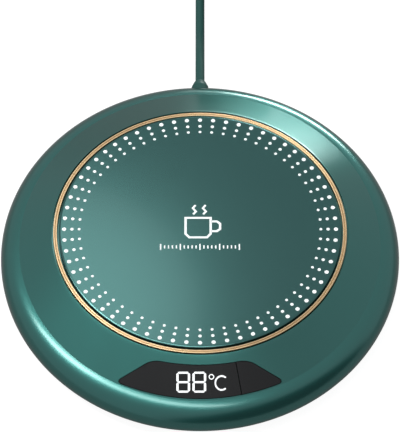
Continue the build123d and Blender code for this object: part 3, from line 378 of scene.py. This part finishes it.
def carve(piece, cutter, operation, sharp=30.0):
    """Apply a Boolean of two pieces to the first one and remove the second."""
    modifier = piece.modifiers.new("Cut", "BOOLEAN")
    modifier.operation = operation
    modifier.solver = "EXACT"
    modifier.object = cutter
    graph = bpy.context.evaluated_depsgraph_get()
    graph.update()
    shaped = bpy.data.meshes.new_from_object(piece.evaluated_get(graph))
    piece.modifiers.clear()
    mesh = bmesh.new()
    mesh.from_mesh(shaped)
    bmesh.ops.remove_doubles(mesh, verts=mesh.verts, dist=0.001 * MM)
    smooth_by_angle(mesh, sharp)
    mesh.to_mesh(piece.data)
    mesh.free()
    bpy.data.meshes.remove(shaped)
    bpy.data.objects.remove(cutter)


def soften(piece, width):
    """Break the sharp edges of a piece."""
    modifier = piece.modifiers.new("Edges", "BEVEL")
    modifier.width = width
    modifier.segments = 2
    modifier.limit_method = "ANGLE"
    modifier.angle_limit = math.radians(30)
    modifier.harden_normals = True


def thicken(mesh, depth):
    """Extrude every flat face upwards into a closed mark."""
    raised = bmesh.ops.extrude_face_region(mesh, geom=mesh.faces[:], use_keep_orig=True)["geom"]
    bmesh.ops.translate(
        mesh, vec=(0, 0, depth), verts=[part for part in raised if isinstance(part, bmesh.types.BMVert)]
    )


def mitre(corner, first, second, grow):
    """The corner of two edges with these normals, after both have moved outwards by grow."""
    return corner + (first + second) * (grow / (1 + first.dot(second)))


def paint_nodes(names, material):
    """Give CAD nodes a finish."""
    for name in names:
        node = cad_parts[name]
        if not node.material_slots:
            node.data.materials.append(material)
        for slot in node.material_slots:
            slot.material = material


# ---------------------------------------------------------------- the body
def rim_sizes(body):
    """The shoulder's reach across and up, and the place of its middle, from the body's settings."""
    reach = body.half_width - body.crease
    across = reach / (1 - math.cos(body.shoulder))
    up = (body.crease_height - body.equator) / math.sin(body.shoulder)
    return across, up, body.half_width - across


def stretch_rim(mesh, body):
    """Make the rim oval. The cone fans out from the round groove to the oval crease."""
    width = body.crease - body.groove
    height = body.crease * body.half_length / body.half_width - body.groove
    for vertex in mesh.verts:
        share = min(1.0, max(0.0, (vertex.co.xy.length - body.groove) / width))
        vertex.co.y *= (body.groove + share * height) / (body.groove + share * width)


class WARMER_OT_body(bpy.types.Operator):
    """Turn the moulded upper housing and open it for the display panel"""

    bl_idname = "warmer.body"
    bl_label = "Body"

    def execute(self, context):
        body = context.scene.warmer_body
        panel = context.scene.warmer_panel
        across, up, shoulder_x = rim_sizes(body)
        tuck_x = body.half_width - body.tuck
        inner_x = body.half_width - body.wall
        mouth, mouth_low, mouth_high = 59.58 * MM, 4.0 * MM, 5.7 * MM
        ledge, ledge_high, underside = 49.3 * MM, 17.09 * MM, 16.8 * MM
        hole, seat, seat_wall, groove_floor = 41.0 * MM, 18.4 * MM, 45.15 * MM, 19.4 * MM
        step = 0.001 * MM  # keeps the arc's first corner off the crease
        turn = body.shoulder
        section = Section()
        section.to(body.groove, groove_floor).to(body.groove, body.cone_top, 0.1 * MM, 8)
        section.line(body.crease, body.crease_height, CONE_CUTS)
        section.to(shoulder_x + across * math.cos(turn) + step, body.equator + up * math.sin(turn))
        section.arc(shoulder_x, body.equator, turn, 20, up / across)
        section.arc(tuck_x, body.equator, body.tuck_turn, 8)
        section.to(mouth, mouth_low).to(mouth, mouth_high).to(inner_x, mouth_high)
        section.to(inner_x, body.equator)
        section.arc(shoulder_x, body.equator, -turn, 8, (up - body.wall) / (across - body.wall))
        section.to(ledge, ledge_high).to(ledge, underside).to(hole, underside).to(hole, seat)
        section.to(seat_wall, seat).to(seat_wall, groove_floor)
        mesh = section.close().turned()
        stretch_rim(mesh, body)
        green = surface(
            "green_moulding", body.green, 0.3, grain=0.25 * MM, spread=0.05, wear=0.03, bump=0.05,
            Metallic=0.9, Specular_Tint=(0.05, 0.3, 0.28, 1), Coat_Weight=1.0, Coat_Roughness=0.19,
            Coat_IOR=1.55,
        )
        shell = publish(
            "housing_shell", mesh, green, "green_plastic", sharp=CRISP, replaced=["upper_housing"]
        )
        carve(shell, panel_prism(panel, panel.gap), "DIFFERENCE", CRISP)
        return {"FINISHED"}


class WARMER_OT_ring(bpy.types.Operator):
    """Turn the gold trim ring with its shallow groove"""

    bl_idname = "warmer.ring"
    bl_label = "Trim Ring"

    def execute(self, context):
        plate = context.scene.warmer_plate
        outer, inner = plate.ring_outer, plate.ring_outer - plate.ring_width
        middle, top = (inner + outer) / 2, ring_high.z
        edge, dip_edge, dip_width = 0.22 * MM, 0.12 * MM, 0.32 * MM
        section = Section()
        section.to(inner, ring_low.z).to(inner, top, edge, 4)
        section.to(middle - dip_width / 2, top, dip_edge)
        section.to(middle, top - plate.ring_dip, 0.1 * MM)
        section.to(middle + dip_width / 2, top, dip_edge)
        section.to(outer, top, edge, 4).to(outer, ring_low.z)
        gold = surface(
            "satin_gold", plate.gold, 0.28, grain=0.2 * MM, spread=0.04, bump=0.08, stretch=(1, 1, 0.2),
            Metallic=1.0,
        )
        publish("trim_ring", section.close().turned(), gold, "gold_trim", replaced=["gold_trim_ring"])
        return {"FINISHED"}


class WARMER_OT_plate(bpy.types.Operator):
    """Turn the coated heating plate and print its dots and marks"""

    bl_idname = "warmer.plate"
    bl_label = "Heating Plate"

    def execute(self, context):
        plate = context.scene.warmer_plate
        bevel = plate.edge * 0.36
        section = Section()
        section.to(0.0, plate.bottom).to(0.0, plate.top)
        section.to(plate.radius - plate.edge, plate.top, 0.1 * MM)
        section.to(plate.radius, plate.top - bevel, 0.12 * MM)
        section.to(plate.radius, plate.bottom, 0.2 * MM)
        glass = surface(
            "coated_glass", plate.glass, 0.24, grain=0.3 * MM, spread=0.03, wear=0.02, bump=0.02,
            Metallic=0.85, Specular_Tint=(0.45, 0.6, 0.6, 1), Coat_Weight=0.15, Coat_Roughness=0.1,
        )
        mesh = section.close().turned(AROUND // 2)
        publish("plate", mesh, glass, "green_glass", replaced=["heating_plate"])
        white = surface("white_print", plate.marks, 0.45, grain=0.3 * MM, spread=0.02)
        publish("plate_dots", self.dots(plate), white, "lit_white")
        publish("plate_marks", self.marks(plate), white, "lit_white")
        return {"FINISHED"}

    def dots(self, plate):
        """Three rings of dots that grow outwards."""
        mesh = bmesh.new()
        for place, radius in ((38.5, 0.47), (40.8, 0.54), (43.3, 0.68)):
            bmesh.ops.create_circle(
                mesh, cap_ends=True, segments=16, radius=radius * MM,
                matrix=Matrix.Translation((place * MM, 0, plate.top - SUNK)),
            )
        thicken(mesh, plate.print_depth + SUNK)
        steps = plate.dot_columns - 1
        bmesh.ops.spin(
            mesh, geom=mesh.verts[:] + mesh.edges[:] + mesh.faces[:], cent=(0, 0, 0), axis=(0, 0, 1),
            angle=FULL_TURN * steps / plate.dot_columns, steps=steps, use_duplicate=True,
        )
        bmesh.ops.recalc_face_normals(mesh, faces=mesh.faces)
        return mesh

    def marks(self, plate):
        """A plain mug with two curls of steam, and a row of ticks in front of it."""
        mesh = bmesh.new()
        stroke, tick = 0.75 * MM, 0.42 * MM
        cup = [(-4.6, 4.4), (-4.6, -1.8), (-3.4, -3.2), (2.2, -3.2), (3.4, -1.8), (3.4, 4.4)]
        draw(mesh, cup, stroke, closed=True)
        handle = [(3.6, 3.0), (5.4, 3.0), (6.4, 2.1), (6.4, 0.1), (5.4, -0.8), (3.6, -0.8)]
        draw(mesh, handle, stroke)
        for x in (-2.2, 1.0):
            draw(mesh, [(x, 5.8), (x + 0.9, 6.9), (x - 0.1, 8.2), (x + 0.8, 9.4)], stroke * 0.9)
        row, pitch, ticks = -6.9, 1.25, 21
        for number in range(ticks):
            x = (number - ticks // 2) * pitch
            reach = 1.15 if number % 5 == 0 else 0.6
            draw(mesh, [(x, row - reach), (x, row + reach)], tick)
        bmesh.ops.translate(mesh, vec=(0, 0, plate.top - SUNK), verts=mesh.verts)
        thicken(mesh, plate.print_depth + SUNK)
        bmesh.ops.recalc_face_normals(mesh, faces=mesh.faces)
        return mesh


def draw(mesh, points, width, closed=False):
    """A flat stroke through points in millimetres, with mitred corners and square ends."""
    route = [Vector((x, y, 0)) * MM for x, y in points]
    count = len(route)
    pairs = []
    for number, point in enumerate(route):
        ahead = route[(number + 1) % count] if closed or number < count - 1 else None
        behind = route[number - 1] if closed or number else None
        legs = [leg.normalized() for leg in (ahead and ahead - point, behind and point - behind) if leg]
        normals = [Vector((-leg.y, leg.x, 0)) for leg in legs]
        pairs.append(
            [mesh.verts.new(mitre(point, normals[0], normals[-1], grow)) for grow in (width / 2, -width / 2)]
        )
    for first, second in zip(pairs, pairs[1:] + (pairs[:1] if closed else [])):
        mesh.faces.new((first[0], first[1], second[1], second[0]))


# ---------------------------------------------------------------- the display panel
def panel_space(panel, body):
    """From panel coordinates, u to the right and v up the slope, to the shared frame."""
    run = body.crease * body.half_length / body.half_width - body.groove
    slope = math.atan2(body.cone_top - body.crease_height, run)
    place = Matrix.Translation((0, -panel.origin_y, panel.origin_z))
    return place @ Matrix.Rotation(slope, 4, "X")


def panel_outline(panel, grow=0.0):
    """The panel's outline as one flat face in panel coordinates."""
    mesh = bmesh.new()
    tip = Vector((panel.tip_x, panel.tip_y, 0))
    corner = Vector((panel.corner_x, panel.corner_y, 0))
    side = Vector((tip.y - corner.y, corner.x - tip.x, 0)).normalized() * -1
    sag = panel.tip_y + panel.bottom
    lower = Vector((0, -panel.bottom + (tip.x**2 + sag**2) / (2 * sag), 0))
    rise = panel.corner_y - panel.top
    upper = Vector((0, panel.top + (corner.x**2 + rise**2) / (2 * rise), 0))
    below = (tip - lower).normalized()
    above = (upper - corner).normalized()
    def arc(start, middle, steps):
        turn = 2 * math.atan2(start.co.x, middle.y - start.co.y)
        bmesh.ops.spin(mesh, geom=[start], cent=middle, axis=(0, 0, 1), angle=-turn, steps=steps)
        mesh.verts.ensure_lookup_table()
        return mesh.verts[-1]

    right_tip = mesh.verts.new(mitre(tip, side, below, grow))
    left_tip = arc(right_tip, lower, 24)
    right_corner = mesh.verts.new(mitre(corner, side, above, grow))
    left_corner = arc(right_corner, upper, 12)
    mesh.edges.new((right_tip, right_corner))
    mesh.edges.new((left_tip, left_corner))
    bmesh.ops.contextual_create(mesh, geom=mesh.edges[:])
    tip_reach = (panel.tip_round + grow) * math.tan(side.angle(below) / 2)
    corner_reach = (panel.corner_round + grow) * math.tan(side.angle(above) / 2)
    for vertex in (right_tip, left_tip):
        round_corner(mesh, vertex, tip_reach, 5)
    for vertex in (right_corner, left_corner):
        round_corner(mesh, vertex, corner_reach, 8)
    return mesh


def panel_prism(panel, grow=0.0, side=0):
    """The outline carried through the wall. Side -1 keeps the window's part and 1 the key's."""
    mesh = panel_outline(panel, grow)
    if side:
        normal = Vector((math.cos(panel.seam_lean), math.sin(panel.seam_lean), 0))
        bmesh.ops.bisect_plane(
            mesh, geom=mesh.verts[:] + mesh.edges[:] + mesh.faces[:], dist=0.0001 * MM,
            plane_co=Vector((panel.seam, 0, 0)) + normal * side * panel.seam_width / 2,
            plane_no=normal * -side, clear_outer=True,
        )
    return upright(mesh, "prism")


def upright(mesh, name):
    """Carry flat faces in panel coordinates through the wall and place them on the body."""
    scene = bpy.context.scene
    bmesh.ops.translate(mesh, vec=(0, 0, -THROUGH), verts=mesh.verts)
    thicken(mesh, 2 * THROUGH)
    bmesh.ops.transform(mesh, matrix=panel_space(scene.warmer_panel, scene.warmer_body), verts=mesh.verts)
    bmesh.ops.recalc_face_normals(mesh, faces=mesh.faces)
    return publish(name, mesh, None, None)


def cone_slab(name, top, bottom, material, slot, body_name="housing", replaced=()):
    """The front of the cone between two depths, straight down."""
    body = bpy.context.scene.warmer_body
    section = Section()
    section.to(body.groove, body.cone_top - top)
    section.line(body.crease, body.crease_height - top, CONE_CUTS)
    section.to(body.crease, body.crease_height - bottom)
    section.line(body.groove, body.cone_top - bottom, CONE_CUTS)
    mesh = section.close().turned(AROUND // 4, math.radians(-135), FULL_TURN / 4)
    stretch_rim(mesh, body)
    return publish(name, mesh, material, slot, body_name, replaced=replaced)


class WARMER_OT_panel(bpy.types.Operator):
    """Fit the black window, the push key and the lit figures flush with the cone"""

    bl_idname = "warmer.panel"
    bl_label = "Display Panel"

    def execute(self, context):
        panel = context.scene.warmer_panel
        black = surface(
            "gloss_black", panel.black, 0.22, grain=0.3 * MM, spread=0.06, wear=0.03, bump=0.02,
            Specular_IOR_Level=0.33,
        )
        window = cone_slab(
            "window", 0.0, panel.window_depth, black, "black_gloss", replaced=["display_window"]
        )
        carve(window, panel_prism(panel, 0.0, -1), "INTERSECT")
        key = cone_slab(
            "key", 0.0, panel.key_depth, black, "black_gloss", "button", replaced=["mode_button"]
        )
        carve(key, panel_prism(panel, 0.0, 1), "INTERSECT")
        for piece in (window, key):
            soften(piece, 0.1 * MM)
        glow = surface(
            "lit_figures", panel.glow, 0.4, grain=0.3 * MM, spread=0.02, Emission_Strength=0.35,
            Emission_Color=shade(panel.glow, 1),
        )
        raised, sunk = 0.03 * MM, 0.02 * MM
        figures = cone_slab("figures", -raised, sunk, glow, "lit_white")
        carve(figures, upright(self.figures(), "strokes"), "INTERSECT")
        return {"FINISHED"}

    def figures(self):
        """Two seven-bar figures, a degree ring and a C, flat in panel coordinates in millimetres."""
        mesh = bmesh.new()
        for left, right in ((-7.36, -3.08), (-2.36, 1.92)):
            self.digit(mesh, left, right, -3.32, 3.2)
        self.ring(mesh, 3.56, 1.6, 0.86, 0.86, 0.3, 0.0, 360.0, 28)
        self.ring(mesh, 6.75, -0.3, 2.22, 2.42, 0.48, 50.0, 260.0, 28)
        bmesh.ops.scale(mesh, vec=(MM, MM, MM), verts=mesh.verts)
        return mesh

    def digit(self, mesh, left, right, bottom, top):
        """A figure with all its seven bars lit."""
        upright_width, level_width, gap = 0.7, 0.62, 0.1
        heights = bottom + level_width / 2, (bottom + top) / 2, top - level_width / 2
        for x in (left + upright_width / 2, right - upright_width / 2):
            for low, high in zip(heights, heights[1:]):
                self.bar(mesh, x, (low + high) / 2, upright_width, high - low - 2 * gap)
        for y in heights:
            self.bar(mesh, (left + right) / 2, y, right - left - upright_width - 2 * gap, level_width)

    def bar(self, mesh, x, y, width, height):
        """A bar with pointed ends."""
        corners = bmesh.ops.create_grid(
            mesh, x_segments=1, y_segments=1, size=0.5,
            matrix=Matrix.Translation((x, y, 0)) @ Matrix.Diagonal((width, height, 1, 1)),
        )["verts"]
        bmesh.ops.bevel(
            mesh, geom=corners, offset=min(width, height) * 0.45, offset_type="OFFSET", affect="VERTICES",
            segments=1, profile=0.5, material=-1,
        )

    def ring(self, mesh, x, y, across, up, stroke, start, turn, steps):
        """A ring or the part of one that makes a C."""
        begin = math.radians(start)
        ends = [
            mesh.verts.new((x + radius * math.cos(begin), y + radius * math.sin(begin), 0))
            for radius in (across, across - stroke)
        ]
        count = len(mesh.verts)
        edge = mesh.edges.new(ends)
        bmesh.ops.spin(
            mesh, geom=[*ends, edge], cent=(x, y, 0), axis=(0, 0, 1), angle=math.radians(turn),
            steps=steps, use_merge=turn >= 360.0,
        )
        mesh.verts.ensure_lookup_table()
        bmesh.ops.scale(
            mesh, vec=(1, up / across, 1), space=Matrix.Translation((-x, -y, 0)),
            verts=ends + mesh.verts[count:],
        )


# ---------------------------------------------------------------- the lead
class WARMER_OT_lead(bpy.types.Operator):
    """Run the lead from its collar to the put-away coil and the plug"""

    bl_idname = "warmer.lead"
    bl_label = "Lead"

    def execute(self, context):
        lead = context.scene.warmer_lead
        jacket = surface(
            "lead_jacket", lead.green, 0.45, grain=0.3 * MM, spread=0.05, bump=0.12, Specular_IOR_Level=0.22,
        )
        collar = self.collar(lead, jacket)
        curve = bpy.data.curves.new("lead", "CURVE")
        curve.dimensions = "3D"
        curve.bevel_depth = lead.diameter / 2
        curve.bevel_resolution = 4
        curve.resolution_u = 6
        curve.use_fill_caps = True
        points = self.route(lead)
        spline = curve.splines.new("NURBS")
        spline.points.add(len(points) - 1)
        for point, place in zip(spline.points, points):
            point.co = (*place, 1.0)
        spline.order_u = 3
        spline.use_endpoint_u = True
        curve.materials.append(jacket)
        cord = bpy.data.objects.new("lead", curve)
        context.scene.collection.objects.link(cord)
        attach(cord, "housing")
        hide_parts("power_cord_run", "power_cord_coil", "power_cord_end")
        return {"FINISHED"}

    def route(self, lead):
        """The lead's own points: the run over the table, the turns of the coil and the end at the plug."""
        run = [(0, 66.04, 8.2), (0, 78, 8.2), (0, 93, 1.5), (0, 101, 1.5), (0, 110, 2.1), (0, 118.5, 2.1)]
        end = [(33.6, 150.1, 11.1), (46, 150.1, 11.1), (57, 145, 6.5), (69, 140, 4), (79, 140, 4)]
        turn_points, full_turns = 24, 11
        columns, layers = (19.1, 16.1, 13.1), (2.1, 5.1, 8.1, 11.1)
        bulge = 0.9  # to the side, where the lead climbs to the next layer
        slots = [
            (radius, height)
            for number, height in enumerate(layers)
            for radius in (columns if number % 2 == 0 else columns[::-1])
        ]
        coil = []
        for number in range(turn_points * full_turns + turn_points // 4 + 1):
            turn, step = divmod(number, turn_points)
            radius, height = slots[turn]
            if turn < full_turns:
                next_radius, next_height = slots[turn + 1]
                share = max(0.0, (step / turn_points - 0.75) * 4)
                outwards = 0.0
                if next_height != height:
                    outwards = math.sin(share * math.pi) * (bulge if radius == columns[0] else -bulge)
                radius += (next_radius - radius) * share + outwards
                height += (next_height - height) * share
            else:
                radius -= step / (turn_points / 4)
            around = math.pi - FULL_TURN * number / turn_points
            coil.append(
                (
                    lead.coil_x / MM + radius * math.cos(around),
                    lead.coil_y / MM + radius * math.sin(around),
                    height,
                )
            )
        return [tuple(part * MM for part in point) for point in run + coil + end]

    def collar(self, lead, material):
        """The tapered collar of the strain relief."""
        root, rise, end = -3.0 * MM, 0.6 * MM, 2.7 * MM
        section = Section()
        section.to(lead.diameter / 2, root).to(lead.collar, root)
        section.to(lead.collar, rise, 0.3 * MM).to(lead.collar_end, end, 0.15 * MM)
        section.to(lead.diameter / 2, end)
        mesh = section.close().turned(AROUND // 8)
        backwards = Matrix.Rotation(math.radians(-90), 3, "X")
        bmesh.ops.rotate(mesh, cent=(0, 0, 0), matrix=backwards, verts=mesh.verts)
        bmesh.ops.translate(mesh, vec=(0, lead.exit_y, lead.exit_z), verts=mesh.verts)
        bmesh.ops.recalc_face_normals(mesh, faces=mesh.faces)
        return publish("lead_collar", mesh, material, "cord_green", replaced=["strain_relief"])


# ---------------------------------------------------------------- pieces that keep their CAD shape
INNER_FINISHES = [
    # nodes, name of the finish, colour, roughness, other settings
    (["base_cover"], "black_moulding", (0.02, 0.02, 0.021), 0.5, dict(grain=0.3 * MM, spread=0.12, bump=0.3)),
    (["rubber_feet"], "foot_rubber", (0.025, 0.025, 0.025), 0.8, dict(grain=0.2 * MM, bump=0.4)),
    (["plate_gasket"], "silicone", (0.5, 0.52, 0.5), 0.55, dict(grain=0.3 * MM, bump=0.2)),
    (
        ["heat_spreader", "heater_retainer"],
        "rolled_aluminium", (0.7, 0.71, 0.72), 0.38, dict(grain=0.2 * MM, stretch=(1, 0.05, 1), Metallic=1.0),
    ),
    (["heater_element"], "amber_film", (0.5, 0.2, 0.03), 0.35, dict(grain=0.8 * MM, spread=0.15)),
    (["insulation_pad"], "felt", (0.72, 0.7, 0.66), 0.95, dict(grain=0.3 * MM, bump=0.8)),
    (
        ["retainer_screws", "display_board_screws", "housing_screws", "control_board_screws",
         "cord_clamp_screws"],
        "plated_screw", (0.55, 0.55, 0.56), 0.3, dict(grain=0.2 * MM, spread=0.1, Metallic=1.0),
    ),
    (
        ["display_board", "control_board"],
        "circuit_board", (0.01, 0.12, 0.05), 0.4, dict(grain=0.6 * MM, spread=0.25, Coat_Weight=0.3),
    ),
    (
        ["display_module", "tact_switch", "controller_chip", "power_transistor", "cord_clamp",
         "ribbon_socket", "terminal_block"],
        "black_component", (0.02, 0.02, 0.02), 0.45, dict(grain=0.3 * MM, spread=0.15, bump=0.25),
    ),
    (["display_segments"], "segment_white", (0.8, 0.82, 0.82), 0.4, dict(spread=0.02)),
    (["switch_plunger"], "switch_button", (0.7, 0.7, 0.68), 0.5, dict(spread=0.05)),
    (["smoothing_capacitor"], "capacitor_sleeve", (0.05, 0.07, 0.25), 0.35, dict(spread=0.1)),
    (["temperature_sensor", "thermal_cutoff"], "sensor_body", (0.6, 0.58, 0.5), 0.4, dict(spread=0.1)),
    (["ribbon_cable"], "ribbon_grey", (0.5, 0.5, 0.5), 0.5, dict(grain=0.5 * MM, spread=0.1)),
    (
        ["heater_leads", "cutoff_leads", "sensor_leads", "power_leads"],
        "wire_red", (0.5, 0.03, 0.03), 0.4, dict(spread=0.1),
    ),
    (["cord_ties"], "tie_black", (0.02, 0.02, 0.02), 0.7, dict(grain=0.2 * MM, bump=0.6)),
    (["plug_shell"], "nickel", (0.75, 0.74, 0.72), 0.22, dict(grain=0.2 * MM, spread=0.05, Metallic=1.0)),
    (["plug_insulator"], "insulator_white", (0.75, 0.75, 0.75), 0.45, dict(spread=0.03)),
    (["plug_contacts"], "contact_gold", (0.85, 0.62, 0.25), 0.25, dict(spread=0.05, Metallic=1.0)),
]


class WARMER_OT_inner_parts(bpy.types.Operator):
    """Give the base, the feet, the plug and everything inside their finishes"""

    bl_idname = "warmer.inner_parts"
    bl_label = "Base, Plug and Inner Parts"

    def execute(self, context):
        for names, finish, base, roughness, others in INNER_FINISHES:
            paint_nodes(names, surface(finish, base, roughness, **others))
        paint_nodes(["power_cord_inner", "plug_overmould"], bpy.data.materials["lead_jacket"])
        return {"FINISHED"}


# ---------------------------------------------------------------- stage
LAMPS = {
    # place, width and height, power in watts, turn in degrees
    "softbox_above": ((-0.3, -0.15, 1.0), (1.15, 0.18), 3.8, 38),
    "softbox_left": ((-0.66, 0.11, 1.0), (0.6, 0.18), 3.4, 73),
    "softbox_plate": ((-0.08, 0.142, 0.31), (0.165, 0.16), 0.15, 0),
    "softbox_right": ((0.243, 0.859, 0.075), (0.37, 0.07), 2.3, 0),
    "strip_behind": ((0.1, 1.0, 0.46), (0.4, 0.02), 0.2, 0),
    "reflector_behind": ((0.052, 0.183, 0.019), (0.135, 0.036), 0.0195, 0),
}


class WARMER_OT_stage(bpy.types.Operator):
    """Set the floor, the lamps and the camera"""

    bl_idname = "warmer.stage"
    bl_label = "Stage"

    def execute(self, context):
        self.camera(context.scene)
        self.floor()
        for name, settings in LAMPS.items():
            self.lamp(name, *settings)
        self.room(context.scene)
        context.scene.view_settings.view_transform = "Standard"
        return {"FINISHED"}

    def camera(self, scene):
        """A camera in front of the object that looks at the middle of the plate."""
        stage = scene.warmer_stage
        target = Vector((0, 0, scene.warmer_plate.top))
        back = Vector((0, -math.cos(stage.elevation), math.sin(stage.elevation)))
        camera = bpy.data.objects.new("camera", bpy.data.cameras.new("camera"))
        camera.data.sensor_fit = "VERTICAL"
        camera.data.sensor_height = 36.0
        camera.data.lens = stage.lens
        camera.data.shift_y = stage.shift
        camera.data.clip_start, camera.data.clip_end = 0.05, 20.0
        camera.location = target + back * stage.distance
        camera.rotation_mode = "QUATERNION"
        camera.rotation_quaternion = (-back).to_track_quat("-Z", "Y")
        scene.collection.objects.link(camera)
        scene.camera = camera

    def floor(self):
        """A floor that is white to the camera and weaker in gloss and glass."""
        mesh = bmesh.new()
        bmesh.ops.create_grid(mesh, x_segments=1, y_segments=1, size=3.0)
        paper = Paint("white_floor")
        seen, mirrored, through = (
            paper.node("ShaderNodeLightPath", output=ray)
            for ray in ("Is Camera Ray", "Is Glossy Ray", "Is Transmission Ray")
        )
        mirrored_share = 0.22
        glow = seen + (mirrored + through) * mirrored_share
        paper.set(
            Base_Color=(0.18, 0.18, 0.18, 1), Roughness=0.9, Specular_IOR_Level=0.0,
            Emission_Color=paper.blend(glow, (0, 0, 0, 1), (1, 1, 1, 1)), Emission_Strength=0.93,
        )
        publish("floor", mesh, paper.material, None)

    def lamp(self, name, place, size, power, turn):
        """An oval lamp that faces the origin and that the camera doesn't see."""
        lamp = bpy.data.lights.new(name, "AREA")
        lamp.shape = "ELLIPSE"
        lamp.size, lamp.size_y = size
        lamp.energy = power
        holder = bpy.data.objects.new(name, lamp)
        holder.location = place
        holder.rotation_mode = "QUATERNION"
        spin = Quaternion((0, 0, 1), math.radians(turn))
        holder.rotation_quaternion = Vector(place).to_track_quat("Z", "Y") @ spin
        holder.visible_camera = False
        bpy.context.scene.collection.objects.link(holder)

    def room(self, scene):
        """An evenly lit room with a dark side at the front right."""
        lit, dark = 0.64, 0.12
        dark_side = (0.58, -0.81, 0.0)
        scene.world = bpy.data.worlds.new("room")
        room = Paint("room", scene.world)
        towards_dark = room.node(
            "ShaderNodeVectorMath", {"operation": "DOT_PRODUCT"}, {0: room.place, 1: dark_side},
            output="Value",
        )
        level = room.node(
            "ShaderNodeMapRange", {"interpolation_type": "SMOOTHSTEP"},
            {"Value": towards_dark, "From Min": 0.57, "From Max": 0.73, "To Min": lit, "To Max": dark},
        )
        room.set(Color=(0.95, 0.98, 1.0, 1), Strength=level)


class WARMER_PT_panel(bpy.types.Panel):
    """A button for each piece and for the stage, with the sizes and colours below"""

    bl_label = "Electric Mug Warmer"
    bl_idname = "WARMER_PT_panel"
    bl_space_type = "VIEW_3D"
    bl_region_type = "UI"
    bl_category = "Mug Warmer"

    def draw(self, context):
        for operator in OPERATORS:
            self.layout.operator(operator.bl_idname)
        for name, group in GROUPS.items():
            box = self.layout.box()
            for field in group.__annotations__:
                box.prop(getattr(context.scene, name), field)


OPERATORS = [
    WARMER_OT_stage,
    WARMER_OT_lead,
    WARMER_OT_body,
    WARMER_OT_ring,
    WARMER_OT_plate,
    WARMER_OT_panel,
    WARMER_OT_inner_parts,
]


def register():
    for name, group in GROUPS.items():
        bpy.utils.register_class(group)
        setattr(bpy.types.Scene, name, PointerProperty(type=group))
    for kind in [*OPERATORS, WARMER_PT_panel]:
        bpy.utils.register_class(kind)


def unregister():
    for kind in reversed([*OPERATORS, WARMER_PT_panel]):
        bpy.utils.unregister_class(kind)
    for name, group in reversed(GROUPS.items()):
        delattr(bpy.types.Scene, name)
        bpy.utils.unregister_class(group)


def main():
    register()
    for operator in OPERATORS:
        category, name = operator.bl_idname.split(".")
        getattr(getattr(bpy.ops, category), name)()


if __name__ == "__main__":
    main()
